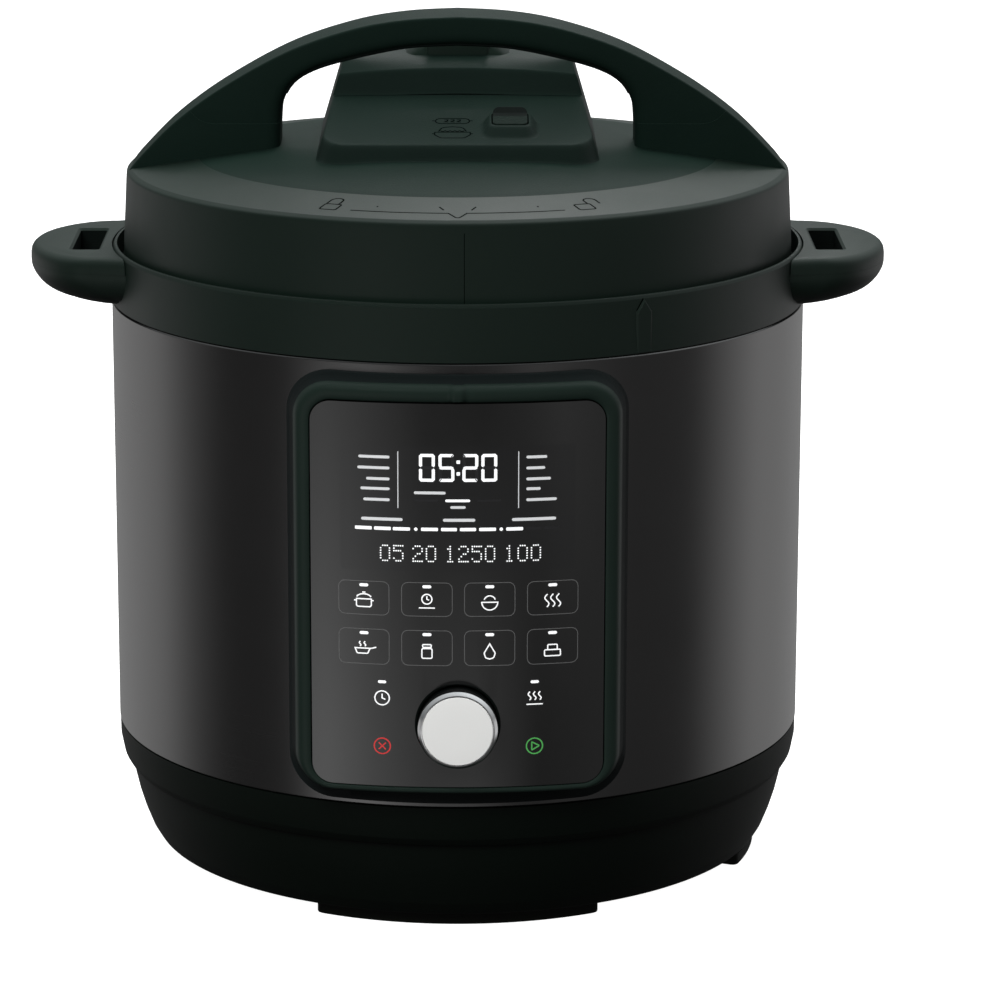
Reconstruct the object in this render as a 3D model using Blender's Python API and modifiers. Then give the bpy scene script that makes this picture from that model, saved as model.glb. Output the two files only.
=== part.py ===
"""Electric pressure cooker: a round appliance with a twist-off lid, an arched lid handle and a control panel.

Frame: +Z up, front towards -Y, origin on the pot's axis at the height of the feet's undersides.
Every size below is in millimetres; MM turns it into Blender's metres.
"""

import math

import bmesh
import bpy
from mathutils import Vector

MM = 0.001

# ---- driving dimensions ----------------------------------------------------------------------------
OVERALL_WIDTH = 335.0        # across the two side handles
OVERALL_DEPTH = 310.0        # front of the dial to the back of the condensation cup
OVERALL_HEIGHT = 333.5       # underside of the feet to the top of the lid handle

GAP = 0.3                    # clearance between fixed neighbours
RING_STEPS = 48              # facets round a large ring
POT_STEPS = 32               # facets round an inner pot or plate
SMALL_STEPS = 16             # facets round a small turned piece

SLEEVE_RADIUS = 135.9
SLEEVE_WALL = 0.8
SLEEVE_BOTTOM = 53.5
SLEEVE_TOP = 222.7

COLLAR_RADIUS = 135.2
COLLAR_LIP_RADIUS = 133.5
COLLAR_TOP = 244.8
COLLAR_FLOOR = 233.4
HANDLE_TOP = 244.2
HANDLE_PARTING = 238.1
HANDLE_HALF_WIDTH = 46.0
HANDLE_END = 28.0            # how far in from the tip the rounded end starts
HANDLE_SLOT = (139.5, 150.0, 22.5)   # inner X, outer X, half length in Y

BASE_BOTTOM = 5.2
SCREW_CIRCLE = 92.0
SCREW_DEGREES = (-45.0, 75.0, 200.0)
VENT_COUNT = 8
VENT_CIRCLE = 62.0
FRONT_FOOT_RADIUS = 114.6
SIDE_FOOT_RADIUS = 119.6
FOOT_HALF_DEGREES = 24.0
FRONT_FOOT_HALF_DEGREES = 26.0

POT_RADIUS = 110.0
POT_BOTTOM = 79.0
POT_RIM = 241.8
HOUSING_RADIUS = 113.4
HOUSING_BOTTOM = 60.0
HOUSING_FLANGE = 238.8
LUG_COUNT = 6
LUG_ANGLE = math.radians(24.0)

LID_RADIUS = 130.8
LID_RIM_RADIUS = 129.2
LID_BOTTOM = 237.4
LID_RIM_TOP = 273.9
LID_SKIN = 2.7

CONSOLE_HALF_WIDTH = 54.6    # at the console's foot
CONSOLE_FOOT = 284.0
CONSOLE_TAPER = 0.29         # inward lean of its sides, per unit of height
CONSOLE_BACK = 58.0
DECK_FRONT = (-52.0, 289.8)  # Y and Z of the low deck's front edge
DECK_SLOPE = 0.248
BUTTON_CENTRE = (20.0, -37.0)
VALVE_Y = 32.0
FLOAT_CENTRE = (-32.0, 32.0)
LEVER_PIVOT = (11.0, -8.0, 292.3)
LOCK_PIN_X = 0.0
LOCK_PIN_Y = 123.2

GRIP_HALF_DEPTH = 14.5
GRIP_SEAM = 292.0
GRIP_LINER = 2.4

PANEL_Y = -146.0             # foremost line of the panel's curved front
PANEL_RADIUS = 190.0         # the front bows round a vertical axis
PANEL_STEPS = 96
PANEL_CENTRE_Z = 137.6
FILM_SIZE = (108.0, 145.4)
BEZEL_SIZE = (123.4, 157.4)
FILM_CORNER = 8.0
BEZEL_CORNER = 15.0
DIAL_Z = 89.1
DIAL_RADIUS = 14.8
DIAL_FRONT = -OVERALL_DEPTH / 2
DIAL_RECESS = 15.9

CUP_Z = (168.0, 214.0)
CUP_HALF_WIDTH = 36.0
CUP_BACK = OVERALL_DEPTH / 2


# ---- scene and materials ---------------------------------------------------------------------------
def clear_scene():
    for item in list(bpy.data.objects):
        bpy.data.objects.remove(item, do_unlink=True)


def new_collection(name):
    collection = bpy.data.collections.new(name)
    bpy.context.scene.collection.children.link(collection)
    return collection


clear_scene()
COOKER = new_collection("pressure_cooker")
CUTTERS = new_collection("cutters")


def material(name, color, roughness, metallic=0.0):
    result = bpy.data.materials.new(name)
    result.use_nodes = True
    shader = result.node_tree.nodes["Principled BSDF"]
    shader.inputs["Base Color"].default_value = (*color, 1.0)
    shader.inputs["Roughness"].default_value = roughness
    shader.inputs["Metallic"].default_value = metallic
    return result


PLASTIC = material("dark_green_plastic", (0.022, 0.030, 0.026), 0.55)
BLACK_STEEL = material("black_steel", (0.10, 0.10, 0.105), 0.38, 1.0)
STEEL = material("stainless_steel", (0.62, 0.62, 0.60), 0.28, 1.0)
ALUMINIUM = material("cast_aluminium", (0.70, 0.71, 0.72), 0.45, 1.0)
FILM = material("gloss_film", (0.012, 0.012, 0.013), 0.12)
SATIN = material("satin_silver", (0.72, 0.72, 0.73), 0.30, 1.0)
SILICONE = material("clear_silicone", (0.62, 0.63, 0.62), 0.50)
RUBBER = material("foot_rubber", (0.020, 0.022, 0.021), 0.80)
BOARD = material("circuit_board", (0.03, 0.16, 0.08), 0.50)
BLACK_PLASTIC = material("black_plastic", (0.02, 0.02, 0.02), 0.50)
CLEAR_CUP = material("smoke_plastic", (0.06, 0.07, 0.07), 0.25)
SPRING_STEEL = material("spring_steel", (0.50, 0.50, 0.50), 0.30, 1.0)


# ---- modelling helpers -----------------------------------------------------------------------------
def add(name, mesh, finish, parent=None):
    """Link a mesh as a named part, keeping its coordinates in the object's own frame."""
    result = bpy.data.objects.new(name, mesh)
    COOKER.objects.link(result)
    if finish is not None:
        mesh.materials.append(finish)
    hang(result, parent)
    return result


def hang(item, parent):
    if parent is not None:
        item.parent = parent
        item.matrix_parent_inverse = parent.matrix_world.inverted()


def joint_empty(name, place, parent=None):
    """An empty on a joint's axis, which carries the pieces that move with it."""
    empty = bpy.data.objects.new(name, None)
    COOKER.objects.link(empty)
    empty.location = Vector(place) * MM
    bpy.context.view_layer.update()
    hang(empty, parent)
    bpy.context.view_layer.update()
    return empty


def as_cutter(item):
    item.hide_render = True
    item.display_type = "WIRE"
    for collection in list(item.users_collection):
        collection.objects.unlink(item)
    CUTTERS.objects.link(item)


def combine(target, tool, operation):
    change = target.modifiers.new(tool.name, "BOOLEAN")
    change.operation = operation
    change.solver = "EXACT"
    change.object = tool
    as_cutter(tool)


def cut(target, *tools):
    for tool in tools:
        combine(target, tool, "DIFFERENCE")


def join(target, *tools):
    for tool in tools:
        combine(target, tool, "UNION")


def finished(mesh, bm):
    bm.normal_update()
    bmesh.ops.recalc_face_normals(bm, faces=bm.faces)
    bm.to_mesh(mesh)
    bm.free()
    return mesh


def turned(name, profile, finish, steps=SMALL_STEPS, centre=(0.0, 0.0, 0.0), forward=False, parent=None):
    """Turn (radius, height) points round an axis; the outer side runs from top to bottom.

    A profile whose first and last points lie on the axis stays open, any other one closes on itself.
    With forward set, the axis points along -Y and a height is a distance towards the front.
    """
    mesh = bpy.data.meshes.new(name)
    open_ends = profile[0][0] == 0.0 and profile[-1][0] == 0.0
    points = [(radius * MM, 0.0, height * MM) for radius, height in profile]
    edges = [(i, i + 1) for i in range(len(points) - 1)]
    if not open_ends:
        edges.append((len(points) - 1, 0))
    mesh.from_pydata(points, edges, [])
    result = add(name, mesh, finish)
    result.location = Vector(centre) * MM
    if forward:
        result.rotation_euler = (math.pi / 2, 0.0, 0.0)
    bpy.context.view_layer.update()
    hang(result, parent)
    screw = result.modifiers.new("turn", "SCREW")
    screw.axis = "Z"
    screw.angle = 2 * math.pi
    screw.steps = steps
    screw.render_steps = steps
    screw.use_merge_vertices = True
    screw.merge_threshold = 0.00001
    return result


def disc(name, radius, low, high, finish, **options):
    return turned(name, [(0.0, high), (radius, high), (radius, low), (0.0, low)], finish, **options)


def ring(name, inner, outer, low, high, finish, **options):
    profile = [(inner, high), (outer, high), (outer, low), (inner, low)]
    return turned(name, profile, finish, **options)


def box(name, low, high, finish, bevel=0.0, parent=None):
    mesh = bpy.data.meshes.new(name)
    bm = bmesh.new()
    bmesh.ops.create_cube(bm, size=1.0)
    low = Vector(low) * MM
    high = Vector(high) * MM
    bmesh.ops.scale(bm, vec=high - low, verts=bm.verts)
    bmesh.ops.translate(bm, vec=(low + high) / 2, verts=bm.verts)
    result = add(name, finished(mesh, bm), finish, parent)
    if bevel:
        soften(result, bevel)
    return result


def soften(item, width, segments=1):
    edge = item.modifiers.new("rounded_edges", "BEVEL")
    edge.width = width * MM
    edge.segments = segments
    edge.limit_method = "ANGLE"
    edge.angle_limit = math.radians(40.0)


def plate(name, outline, low, high, finish, facing="Z", holes=(), parent=None):
    """Extrude a flat outline between two heights along Z, or along Y with facing set to "Y".

    A "Y" outline is given as (X, Z) points, and its heights are Y values.
    """
    curve = bpy.data.curves.new(name, "CURVE")
    curve.dimensions = "2D"
    curve.fill_mode = "BOTH"
    curve.extrude = (high - low) / 2 * MM
    for loop in (outline, *holes):
        spline = curve.splines.new("POLY")
        spline.points.add(len(loop) - 1)
        for point, (u, v) in zip(spline.points, loop):
            point.co = (u * MM, v * MM, 0.0, 1.0)
        spline.use_cyclic_u = True
    guide = bpy.data.objects.new(name + "_outline", curve)
    CUTTERS.objects.link(guide)
    bpy.context.view_layer.update()
    mesh = bpy.data.meshes.new_from_object(guide.evaluated_get(bpy.context.evaluated_depsgraph_get()))
    bpy.data.objects.remove(guide, do_unlink=True)
    mesh.name = name
    mesh.materials.clear()
    bm = bmesh.new()
    bm.from_mesh(mesh)
    bmesh.ops.remove_doubles(bm, verts=bm.verts, dist=0.000001)
    middle = (low + high) / 2 * MM
    for vertex in bm.verts:
        u, v, w = vertex.co
        vertex.co = (u, w + middle, v) if facing == "Y" else (u, v, w + middle)
    return add(name, finished(mesh, bm), finish, parent)


def loft(name, sections, finish, parent=None):
    """A closed body through equal-sized loops of (x, y, z) points, capped at both ends."""
    mesh = bpy.data.meshes.new(name)
    bm = bmesh.new()
    loops = [[bm.verts.new(Vector(point) * MM) for point in section] for section in sections]
    count = len(loops[0])
    for first, second in zip(loops, loops[1:]):
        for i in range(count):
            j = (i + 1) % count
            bm.faces.new((first[i], first[j], second[j], second[i]))
    bm.faces.new(loops[0])
    bm.faces.new(loops[-1])
    return add(name, finished(mesh, bm), finish, parent)


def coil_spring(name, centre, radius, wire, low, high, turns, parent=None):
    """A round-wire compression spring: a helix with its wire capped at both ends."""
    curve = bpy.data.curves.new(name, "CURVE")
    curve.dimensions = "3D"
    curve.bevel_depth = wire / 2 * MM
    curve.bevel_resolution = 0
    curve.use_fill_caps = True
    points_per_turn = 8
    count = turns * points_per_turn
    spline = curve.splines.new("POLY")
    spline.points.add(count)
    for i, point in enumerate(spline.points):
        angle = 2 * math.pi * i / points_per_turn
        height = low + wire / 2 + (high - low - wire) * i / count
        x = centre[0] + radius * math.cos(angle)
        y = centre[1] + radius * math.sin(angle)
        point.co = (x * MM, y * MM, height * MM, 1.0)
    result = bpy.data.objects.new(name, curve)
    COOKER.objects.link(result)
    curve.materials.append(SPRING_STEEL)
    hang(result, parent)
    return result


def arc(centre, radius, start, end, count):
    """Points along an arc, with its angles in degrees."""
    points = []
    for i in range(count):
        angle = math.radians(start + (end - start) * i / (count - 1))
        points.append((centre[0] + radius * math.cos(angle), centre[1] + radius * math.sin(angle)))
    return points


def rounded_rectangle(centre, size, corner, count=4):
    half_u = size[0] / 2 - corner
    half_v = size[1] / 2 - corner
    points = []
    for quarter, (side_u, side_v) in enumerate(((1, 1), (-1, 1), (-1, -1), (1, -1))):
        middle = (centre[0] + side_u * half_u, centre[1] + side_v * half_v)
        points += arc(middle, corner, 90 * quarter, 90 * quarter + 90, count)
    return points


def smooth_through(points, per_span=3):
    """A Catmull-Rom curve through the points."""
    padded = [points[0], *points, points[-1]]
    curve = []
    for a, b, c, d in zip(padded, padded[1:], padded[2:], padded[3:]):
        for i in range(per_span):
            t = i / per_span
            curve.append(tuple(
                0.5 * (2 * q + (r - p) * t + (2 * p - 5 * q + 4 * r - s) * t * t
                       + (3 * q - p - 3 * r + s) * t ** 3)
                for p, q, r, s in zip(a, b, c, d)))
    curve.append(points[-1])
    return curve


def mirrored(points):
    """The points reflected in X and put in reverse order, without the ones on the mirror plane."""
    return [(-x, z) for x, z in reversed(points) if abs(x) > 0.001]


def offset_outwards(points, distance):
    """Move an open line of points to its left by a distance."""
    moved = []
    for i, (x, z) in enumerate(points):
        before = Vector(points[max(i - 1, 0)])
        after = Vector(points[min(i + 1, len(points) - 1)])
        along = (after - before).normalized()
        moved.append((x - along.y * distance, z + along.x * distance))
    return moved


# ---- base: shell, feet, screws and power inlet -------------------------------------------------------
def base_shell():
    """The moulded bowl under the metal sleeve, with a spigot that the sleeve slides over."""
    spigot = SLEEVE_RADIUS - SLEEVE_WALL - GAP - 0.1
    shell = turned("base_shell", [
        (0.0, 8.2), (118.0, 8.2), (121.6, 12.0), (127.6, 33.5), (130.6, 40.0),
        (132.2, 48.0), (132.2, 62.0), (spigot, 62.0), (spigot, 53.2), (135.7, 53.2), (135.6, 46.6),
        (134.2, 39.8), (132.6, 37.7), (131.0, 37.2), (130.0, 30.8), (126.8, 18.0), (123.6, 10.4),
        (120.4, 6.2), (116.0, BASE_BOTTOM), (0.0, BASE_BOTTOM),
    ], PLASTIC, steps=RING_STEPS)
    for i in range(VENT_COUNT):
        angle = 2 * math.pi * (i + 0.5) / VENT_COUNT
        slot = rounded_rectangle((0.0, 0.0), (26.0, 5.0), 2.4, count=2)
        placed = []
        for u, v in slot:
            x = (VENT_CIRCLE + u) * math.cos(angle) - v * math.sin(angle)
            y = (VENT_CIRCLE + u) * math.sin(angle) + v * math.cos(angle)
            placed.append((x, y))
        cut(shell, plate(f"vent_cutter_{i}", placed, 0.0, 12.0, None))
    cut(shell, box("inlet_cutter", (-15.3, 110.0, 12.7), (15.3, 145.0, 34.6), None))
    for i, (x, y) in enumerate(screw_places()):
        cut(shell, disc(f"screw_hole_cutter_{i}", 2.2, 0.0, 20.0, None, steps=12, centre=(x, y, 0.0)))
    for i, (x, y) in enumerate(((-47.0, 17.0), (47.0, 17.0), (-47.0, 73.0), (47.0, 73.0))):
        join(shell, disc(f"board_boss_{i}", 3.0, 7.0, 13.7, None, steps=12, centre=(x, y, 0.0)))
    return shell


def screw_places():
    """The three screws through the base's floor, between the feet."""
    return [(SCREW_CIRCLE * math.cos(math.radians(a)), SCREW_CIRCLE * math.sin(math.radians(a)))
            for a in SCREW_DEGREES]


def base_screw(number, place):
    """A pan-head screw from below into a leg of the spring plate."""
    profile = [(0.0, 30.0), (1.8, 29.0), (1.8, BASE_BOTTOM - GAP), (4.0, BASE_BOTTOM - GAP),
               (4.0, 3.4), (2.6, 2.6), (0.0, 2.6)]
    turned(f"base_screw_{number}", profile, STEEL, steps=12, centre=(*place, 0.0))


def foot(name, middle_degrees, outer, half_degrees=FOOT_HALF_DEGREES):
    """A curved foot under the rim of the base; its ends are round."""
    width = 14.0
    start = middle_degrees - half_degrees
    end = middle_degrees + half_degrees
    inner = outer - width
    middle = (outer + inner) / 2
    end_cap = [(middle * math.cos(math.radians(a)), middle * math.sin(math.radians(a))) for a in (start, end)]
    outline = arc((0.0, 0.0), outer, start, end, 12)
    outline += arc(end_cap[1], width / 2, end, end + 180, 6)[1:-1]
    outline += arc((0.0, 0.0), inner, end, start, 12)
    outline += arc(end_cap[0], width / 2, start + 180, start + 360, 6)[1:-1]
    return plate(name, outline, 0.0, BASE_BOTTOM - GAP, RUBBER)


def power_inlet():
    """The mains inlet in the back of the base: a flange, a body and a keyed socket with its well open."""
    body = box("power_inlet", (-14.9, 108.0, 13.1), (14.9, 129.2, 34.2), BLACK_PLASTIC)
    cut(body, box("inlet_well_cutter", (-12.0, 114.0, 15.6), (12.0, 140.0, 31.6), None))
    join(body, *[box(f"inlet_blade_{i}", (x - 1.0, 112.0, z), (x + 1.0, 126.0, z + 4.0), None)
                 for i, (x, z) in enumerate(((-7.0, 21.0), (0.0, 25.5), (7.0, 21.0)))])


# ---- sleeve, collar and side handles --------------------------------------------------------------------
def metal_sleeve():
    """The straight metal wall, cut out behind the panel and for the screws of the rear bracket."""
    inner = SLEEVE_RADIUS - SLEEVE_WALL
    sleeve = ring("metal_sleeve", inner, SLEEVE_RADIUS, SLEEVE_BOTTOM, SLEEVE_TOP, BLACK_STEEL,
                  steps=RING_STEPS)
    cut(sleeve, box("panel_window_cutter", (-49.0, -150.0, 68.0), (49.0, -100.0, 208.0), None))
    return sleeve


def handle_outline(inset_end, inset_side, root_radius, side):
    """Plan of one side handle, from an arc on the collar out to an elliptical end."""
    reach = OVERALL_WIDTH / 2 - inset_end
    root_width = HANDLE_HALF_WIDTH - inset_side
    end_width = root_width - 3.0
    root_angle = math.degrees(math.asin(root_width / root_radius))
    depth = min(HANDLE_END, reach - math.sqrt(root_radius ** 2 - root_width ** 2) - 1.0)
    points = arc((0.0, 0.0), root_radius, root_angle, -root_angle, 9)
    for i in range(17):
        angle = math.radians(-90.0 + 180.0 * i / 16)
        points.append((reach - depth + depth * math.cos(angle), end_width * math.sin(angle)))
    return [(side * x, y) for x, y in points]


def side_handle_layers(layers, root_radius, side):
    sections = []
    for height, inset_end, inset_side in layers:
        outline = handle_outline(inset_end, inset_side, root_radius, side)
        sections.append([(x, y, height) for x, y in outline])
    return sections


def slot_cutter(name, side):
    near, far, half = HANDLE_SLOT
    xs = sorted((side * near, side * far))
    return box(name, (xs[0], -half, 215.0), (xs[1], half, 250.0), None)


def upper_collar():
    """The plastic ring on top of the sleeve, with the lower halves of both side handles moulded on."""
    spigot = SLEEVE_RADIUS - SLEEVE_WALL - GAP - 0.1
    collar = turned("upper_collar", [
        (COLLAR_LIP_RADIUS, COLLAR_TOP), (134.5, COLLAR_TOP), (COLLAR_RADIUS, 243.6),
        (COLLAR_RADIUS, SLEEVE_TOP + GAP), (spigot, SLEEVE_TOP + GAP), (spigot, 213.0), (132.4, 213.0),
        (132.4, 230.6), (116.6, 230.6), (116.6, COLLAR_FLOOR), (131.6, COLLAR_FLOOR + 0.6),
        (COLLAR_LIP_RADIUS, 236.2),
    ], PLASTIC, steps=RING_STEPS)
    layers = [(HANDLE_PARTING, 0.0, 0.0), (235.6, 0.3, 0.1), (232.6, 1.7, 0.9), (229.4, 4.4, 2.6),
              (226.9, 8.4, 5.2), (225.0, 14.4, 9.4), (223.4, 24.0, 16.0)]
    for label, side in (("right", 1), ("left", -1)):
        sections = side_handle_layers(layers, COLLAR_RADIUS - 0.9, side)
        join(collar, loft(f"lower_handle_{label}", sections, None))
        cut(collar, slot_cutter(f"lower_slot_cutter_{label}", side))
    return collar


def handle_cap(label, side):
    """The upper half of a side handle, butted against the collar along its root."""
    layers = [(HANDLE_PARTING + GAP, 0.0, 0.0), (241.4, 0.2, 0.1), (243.2, 1.0, 0.8), (HANDLE_TOP, 2.7, 2.2)]
    sections = side_handle_layers(layers, COLLAR_RADIUS + GAP + 0.1, side)
    cap = loft(f"handle_cap_{label}", sections, PLASTIC)
    cut(cap, slot_cutter(f"cap_slot_cutter_{label}", side))
    return cap


# ---- pots and heater ------------------------------------------------------------------------------------
def lug_sector(name, inner, outer, low, high, middle, steps=5):
    """One bayonet lug: a sector between two radii, centred on an angle."""
    start = math.degrees(middle - LUG_ANGLE / 2)
    end = math.degrees(middle + LUG_ANGLE / 2)
    outline = arc((0.0, 0.0), outer, start, end, steps) + arc((0.0, 0.0), inner, end, start, steps)
    return plate(name, outline, low, high, None)


def outer_pot():
    """The fixed steel housing round the inner pot, with a flange and outward bayonet lugs at its top."""
    inner = HOUSING_RADIUS - 1.0
    housing = turned("outer_pot", [
        (inner, HOUSING_FLANGE + 1.4), (121.4, HOUSING_FLANGE + 1.4), (121.4, HOUSING_FLANGE),
        (HOUSING_RADIUS, HOUSING_FLANGE), (HOUSING_RADIUS, HOUSING_BOTTOM + 4.0),
        (109.0, HOUSING_BOTTOM), (99.0, HOUSING_BOTTOM), (99.0, HOUSING_BOTTOM + 1.2),
        (108.4, HOUSING_BOTTOM + 1.2), (inner, HOUSING_BOTTOM + 4.6),
    ], STEEL, steps=POT_STEPS)
    for i in range(LUG_COUNT):
        middle = math.radians(-90) + 2 * math.pi * i / LUG_COUNT
        join(housing, lug_sector(f"outer_pot_lug_{i}", 119.0, 124.4, HOUSING_FLANGE + 0.05,
                                 HOUSING_FLANGE + 1.35, middle))
    return housing


def inner_pot():
    """The removable cooking pot with a rolled-out rim."""
    wall = 1.2
    inner = POT_RADIUS - wall
    return turned("inner_pot", [
        (inner, POT_RIM), (117.4, POT_RIM), (118.2, POT_RIM - 0.6), (117.4, POT_RIM - 1.3),
        (POT_RADIUS, POT_RIM - 1.3), (POT_RADIUS, POT_BOTTOM + 8.0), (107.6, POT_BOTTOM + 2.4),
        (102.0, POT_BOTTOM), (0.0, POT_BOTTOM), (0.0, POT_BOTTOM + 2.4), (101.6, POT_BOTTOM + 2.4),
        (106.6, POT_BOTTOM + 4.4), (inner, POT_BOTTOM + 9.0),
    ], STEEL, steps=POT_STEPS)


def heater():
    """The cast heating plate, the sprung thermostat in its middle and what hangs under it."""
    turned("heating_plate", [
        (14.0, 78.6), (92.0, 78.6), (98.0, 77.2), (98.0, 67.0), (90.0, 64.6), (14.0, 64.6),
    ], ALUMINIUM, steps=POT_STEPS)
    support = turned("spring_plate", [
        (20.0, 57.6), (112.0, 57.6), (112.0, 52.0), (106.0, 52.0), (106.0, 55.8), (20.0, 55.8),
    ], STEEL, steps=POT_STEPS)
    for i, (x, y) in enumerate(screw_places()):
        join(support, disc(f"support_leg_{i}", 5.0, 9.0, 56.6, None, steps=12, centre=(x, y, 0.0)))
        cut(support, disc(f"leg_bore_cutter_{i}", 2.2, 0.0, 32.0, None, steps=12, centre=(x, y, 0.0)))
    slider = joint_empty("thermostat_axis", (0.0, 0.0, 78.0))
    turned("thermostat", [
        (0.0, 78.7), (10.6, 78.7), (12.2, 77.4), (12.2, 64.0), (9.0, 64.0), (9.0, 60.4), (0.0, 60.4),
    ], ALUMINIUM, parent=slider)
    coil_spring("thermostat_spring", (0.0, 0.0), 10.9, 1.0, 50.6, 63.4, 4)
    turned("thermostat_cup", [
        (14.8, 61.4), (17.4, 61.4), (17.4, 48.0), (0.0, 48.0), (0.0, 50.0), (14.8, 50.0),
    ], BLACK_PLASTIC)
    box("thermal_fuse", (30.0, -8.0, 59.4), (52.0, -1.0, 64.2), BLACK_PLASTIC, bevel=0.6)
    box("pressure_switch", (-46.0, -10.0, 58.0), (-26.0, 10.0, 64.2), BLACK_PLASTIC, bevel=0.6)


def power_electronics():
    """The power board on the floor of the base, with its relay, transformer and capacitor."""
    box("power_board", (-52.0, 12.0, 14.0), (52.0, 78.0, 15.6), BOARD)
    box("relay", (-40.0, 30.0, 15.9), (-20.0, 46.0, 33.0), BLACK_PLASTIC, bevel=0.6)
    box("transformer", (-10.0, 44.0, 15.9), (18.0, 68.0, 38.0), ALUMINIUM, bevel=1.0)
    disc("filter_capacitor", 9.0, 15.9, 34.0, BLACK_PLASTIC, centre=(36.0, 42.0, 0.0))


# ---- control panel ----------------------------------------------------------------------------------------
def panel_curve(name, outer, thickness=None):
    """A solid, or a shell of some thickness, that follows the panel's front at its own radius."""
    centre = (0.0, PANEL_Y + PANEL_RADIUS, 0.0)
    if thickness is None:
        return disc(name, outer, 40.0, 240.0, None, steps=PANEL_STEPS, centre=centre)
    return ring(name, outer - thickness, outer, 40.0, 240.0, None, steps=PANEL_STEPS, centre=centre)


def panel_bezel():
    """The moulded frame that stands off the sleeve: its front bows with the film, its back with the sleeve."""
    centre = (0.0, PANEL_CENTRE_Z + 2.3)
    outline = rounded_rectangle(centre, BEZEL_SIZE, BEZEL_CORNER, count=6)
    window = rounded_rectangle((0.0, PANEL_CENTRE_Z), (FILM_SIZE[0] + 0.8, FILM_SIZE[1] + 0.8), FILM_CORNER)
    bezel = plate("panel_bezel", outline, PANEL_Y - 2.0, -112.0, PLASTIC, facing="Y", holes=(window,))
    combine(bezel, panel_curve("bezel_front_cutter", PANEL_RADIUS), "INTERSECT")
    cut(bezel, disc("sleeve_curve_cutter", SLEEVE_RADIUS + GAP + 0.1, 40.0, 240.0, None, steps=RING_STEPS))
    return bezel


def panel_layer(name, outline, depth, thickness, finish, hole):
    """A sheet bowed like the panel's front, with its front face some depth behind it."""
    sheet = plate(name, outline, PANEL_Y - 2.0, PANEL_Y + 14.0, finish, facing="Y", holes=(hole,))
    combine(sheet, panel_curve(name + "_curve", PANEL_RADIUS - depth, thickness), "INTERSECT")
    return sheet


def panel_stack():
    """The film, touch board, display and boards behind it, and the tray that closes them in."""
    centre = (0.0, PANEL_CENTRE_Z)
    dial_hole = arc((0.0, DIAL_Z), DIAL_RECESS, 0, 345, 24)
    panel_layer("panel_film", rounded_rectangle(centre, FILM_SIZE, FILM_CORNER - 0.4), 0.0, 1.2, FILM, dial_hole)
    panel_layer("touch_board", rounded_rectangle(centre, (100.0, 136.8), 3.0, count=3), 1.6, 1.4, BOARD, dial_hole)
    box("display_module", (-33.0, -139.6, 158.0), (33.0, -135.4, 198.0), BLACK_PLASTIC, bevel=0.6)
    box("control_board", (-42.0, -132.0, 108.0), (42.0, -130.4, 200.0), BOARD)
    tray = box("panel_tray", (-47.0, PANEL_Y, 70.0), (47.0, -122.0, 206.0), BLACK_PLASTIC)
    combine(tray, panel_curve("tray_front_cutter", PANEL_RADIUS - 3.4), "INTERSECT")
    cut(tray, box("tray_cutter", (-45.0, PANEL_Y - 2.0, 72.0), (45.0, -124.0, 204.0), None))


def dial():
    """The push-and-turn knob: an encoder, a sleeve that is pushed in, and the turning pieces."""
    local = -DIAL_FRONT
    centre = (0.0, 0.0, DIAL_Z)
    box("encoder", (-8.0, PANEL_Y + 9.0, DIAL_Z - 8.0), (8.0, PANEL_Y + 17.0, DIAL_Z + 8.0), BLACK_PLASTIC,
        bevel=0.5)
    press = joint_empty("dial_press_axis", (0.0, PANEL_Y, DIAL_Z))
    turn = joint_empty("dial_turn_axis", (0.0, PANEL_Y, DIAL_Z), press)
    ring("push_sleeve", 3.4, 5.4, local - 16.6, local - 9.6, BLACK_PLASTIC, centre=centre, forward=True,
         parent=press)
    turned("dial_knob", [
        (0.0, local - 2.0), (12.6, local - 2.0), (12.8, local), (13.4, local), (DIAL_RADIUS, local - 1.5),
        (DIAL_RADIUS, local - 8.6), (13.2, local - 8.6), (13.2, local - 5.0), (0.0, local - 5.0),
    ], SATIN, steps=24, centre=centre, forward=True, parent=turn)
    disc("dial_face", 12.2, local - 1.7, local - 0.5, SATIN, steps=24, centre=centre, forward=True, parent=turn)
    disc("dial_shaft", 3.0, local - 16.4, local - 5.3, STEEL, centre=centre, forward=True, parent=turn)


# ---- condensation cup --------------------------------------------------------------------------------------
def cup_section(inset, low, height_share):
    """Plan of the cup: flat towards the sleeve, rounded at the back corners."""
    half = CUP_HALF_WIDTH - inset
    corner = 7.0 - inset
    back = CUP_BACK - inset
    front = 141.2 + inset
    taper = 3.0 * (1.0 - height_share)
    points = [(-half + taper, front), (half - taper, front)]
    points += arc((half - taper - corner, back - taper - corner), corner, 0, 90, 5)
    points += arc((-half + taper + corner, back - taper - corner), corner, 90, 180, 5)
    return [(x, y, low) for x, y in points]


def condensation_collector():
    """The cup that catches drips behind the pot, on a bracket fixed to the sleeve."""
    low, high = CUP_Z
    slide = joint_empty("cup_slide_axis", (0.0, CUP_BACK, high))
    cup = loft("condensation_cup", [cup_section(0.0, low, 0.0), cup_section(0.0, high, 1.0)], CLEAR_CUP, slide)
    cut(cup, loft("cup_cutter", [cup_section(1.6, low + 1.8, 0.0), cup_section(1.6, high + 5.0, 1.0)], None))
    bracket = box("cup_bracket", (-38.0, 120.0, 170.0), (38.0, 140.6, 219.0), PLASTIC)
    cut(bracket, disc("bracket_curve_cutter", SLEEVE_RADIUS + GAP + 0.1, 150.0, 230.0, None,
                      steps=RING_STEPS))
    hood = box("bracket_hood", (-38.0, 139.0, CUP_Z[1] + 0.6), (38.0, CUP_BACK - 1.0, 219.0), None)
    join(bracket, hood)


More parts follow.
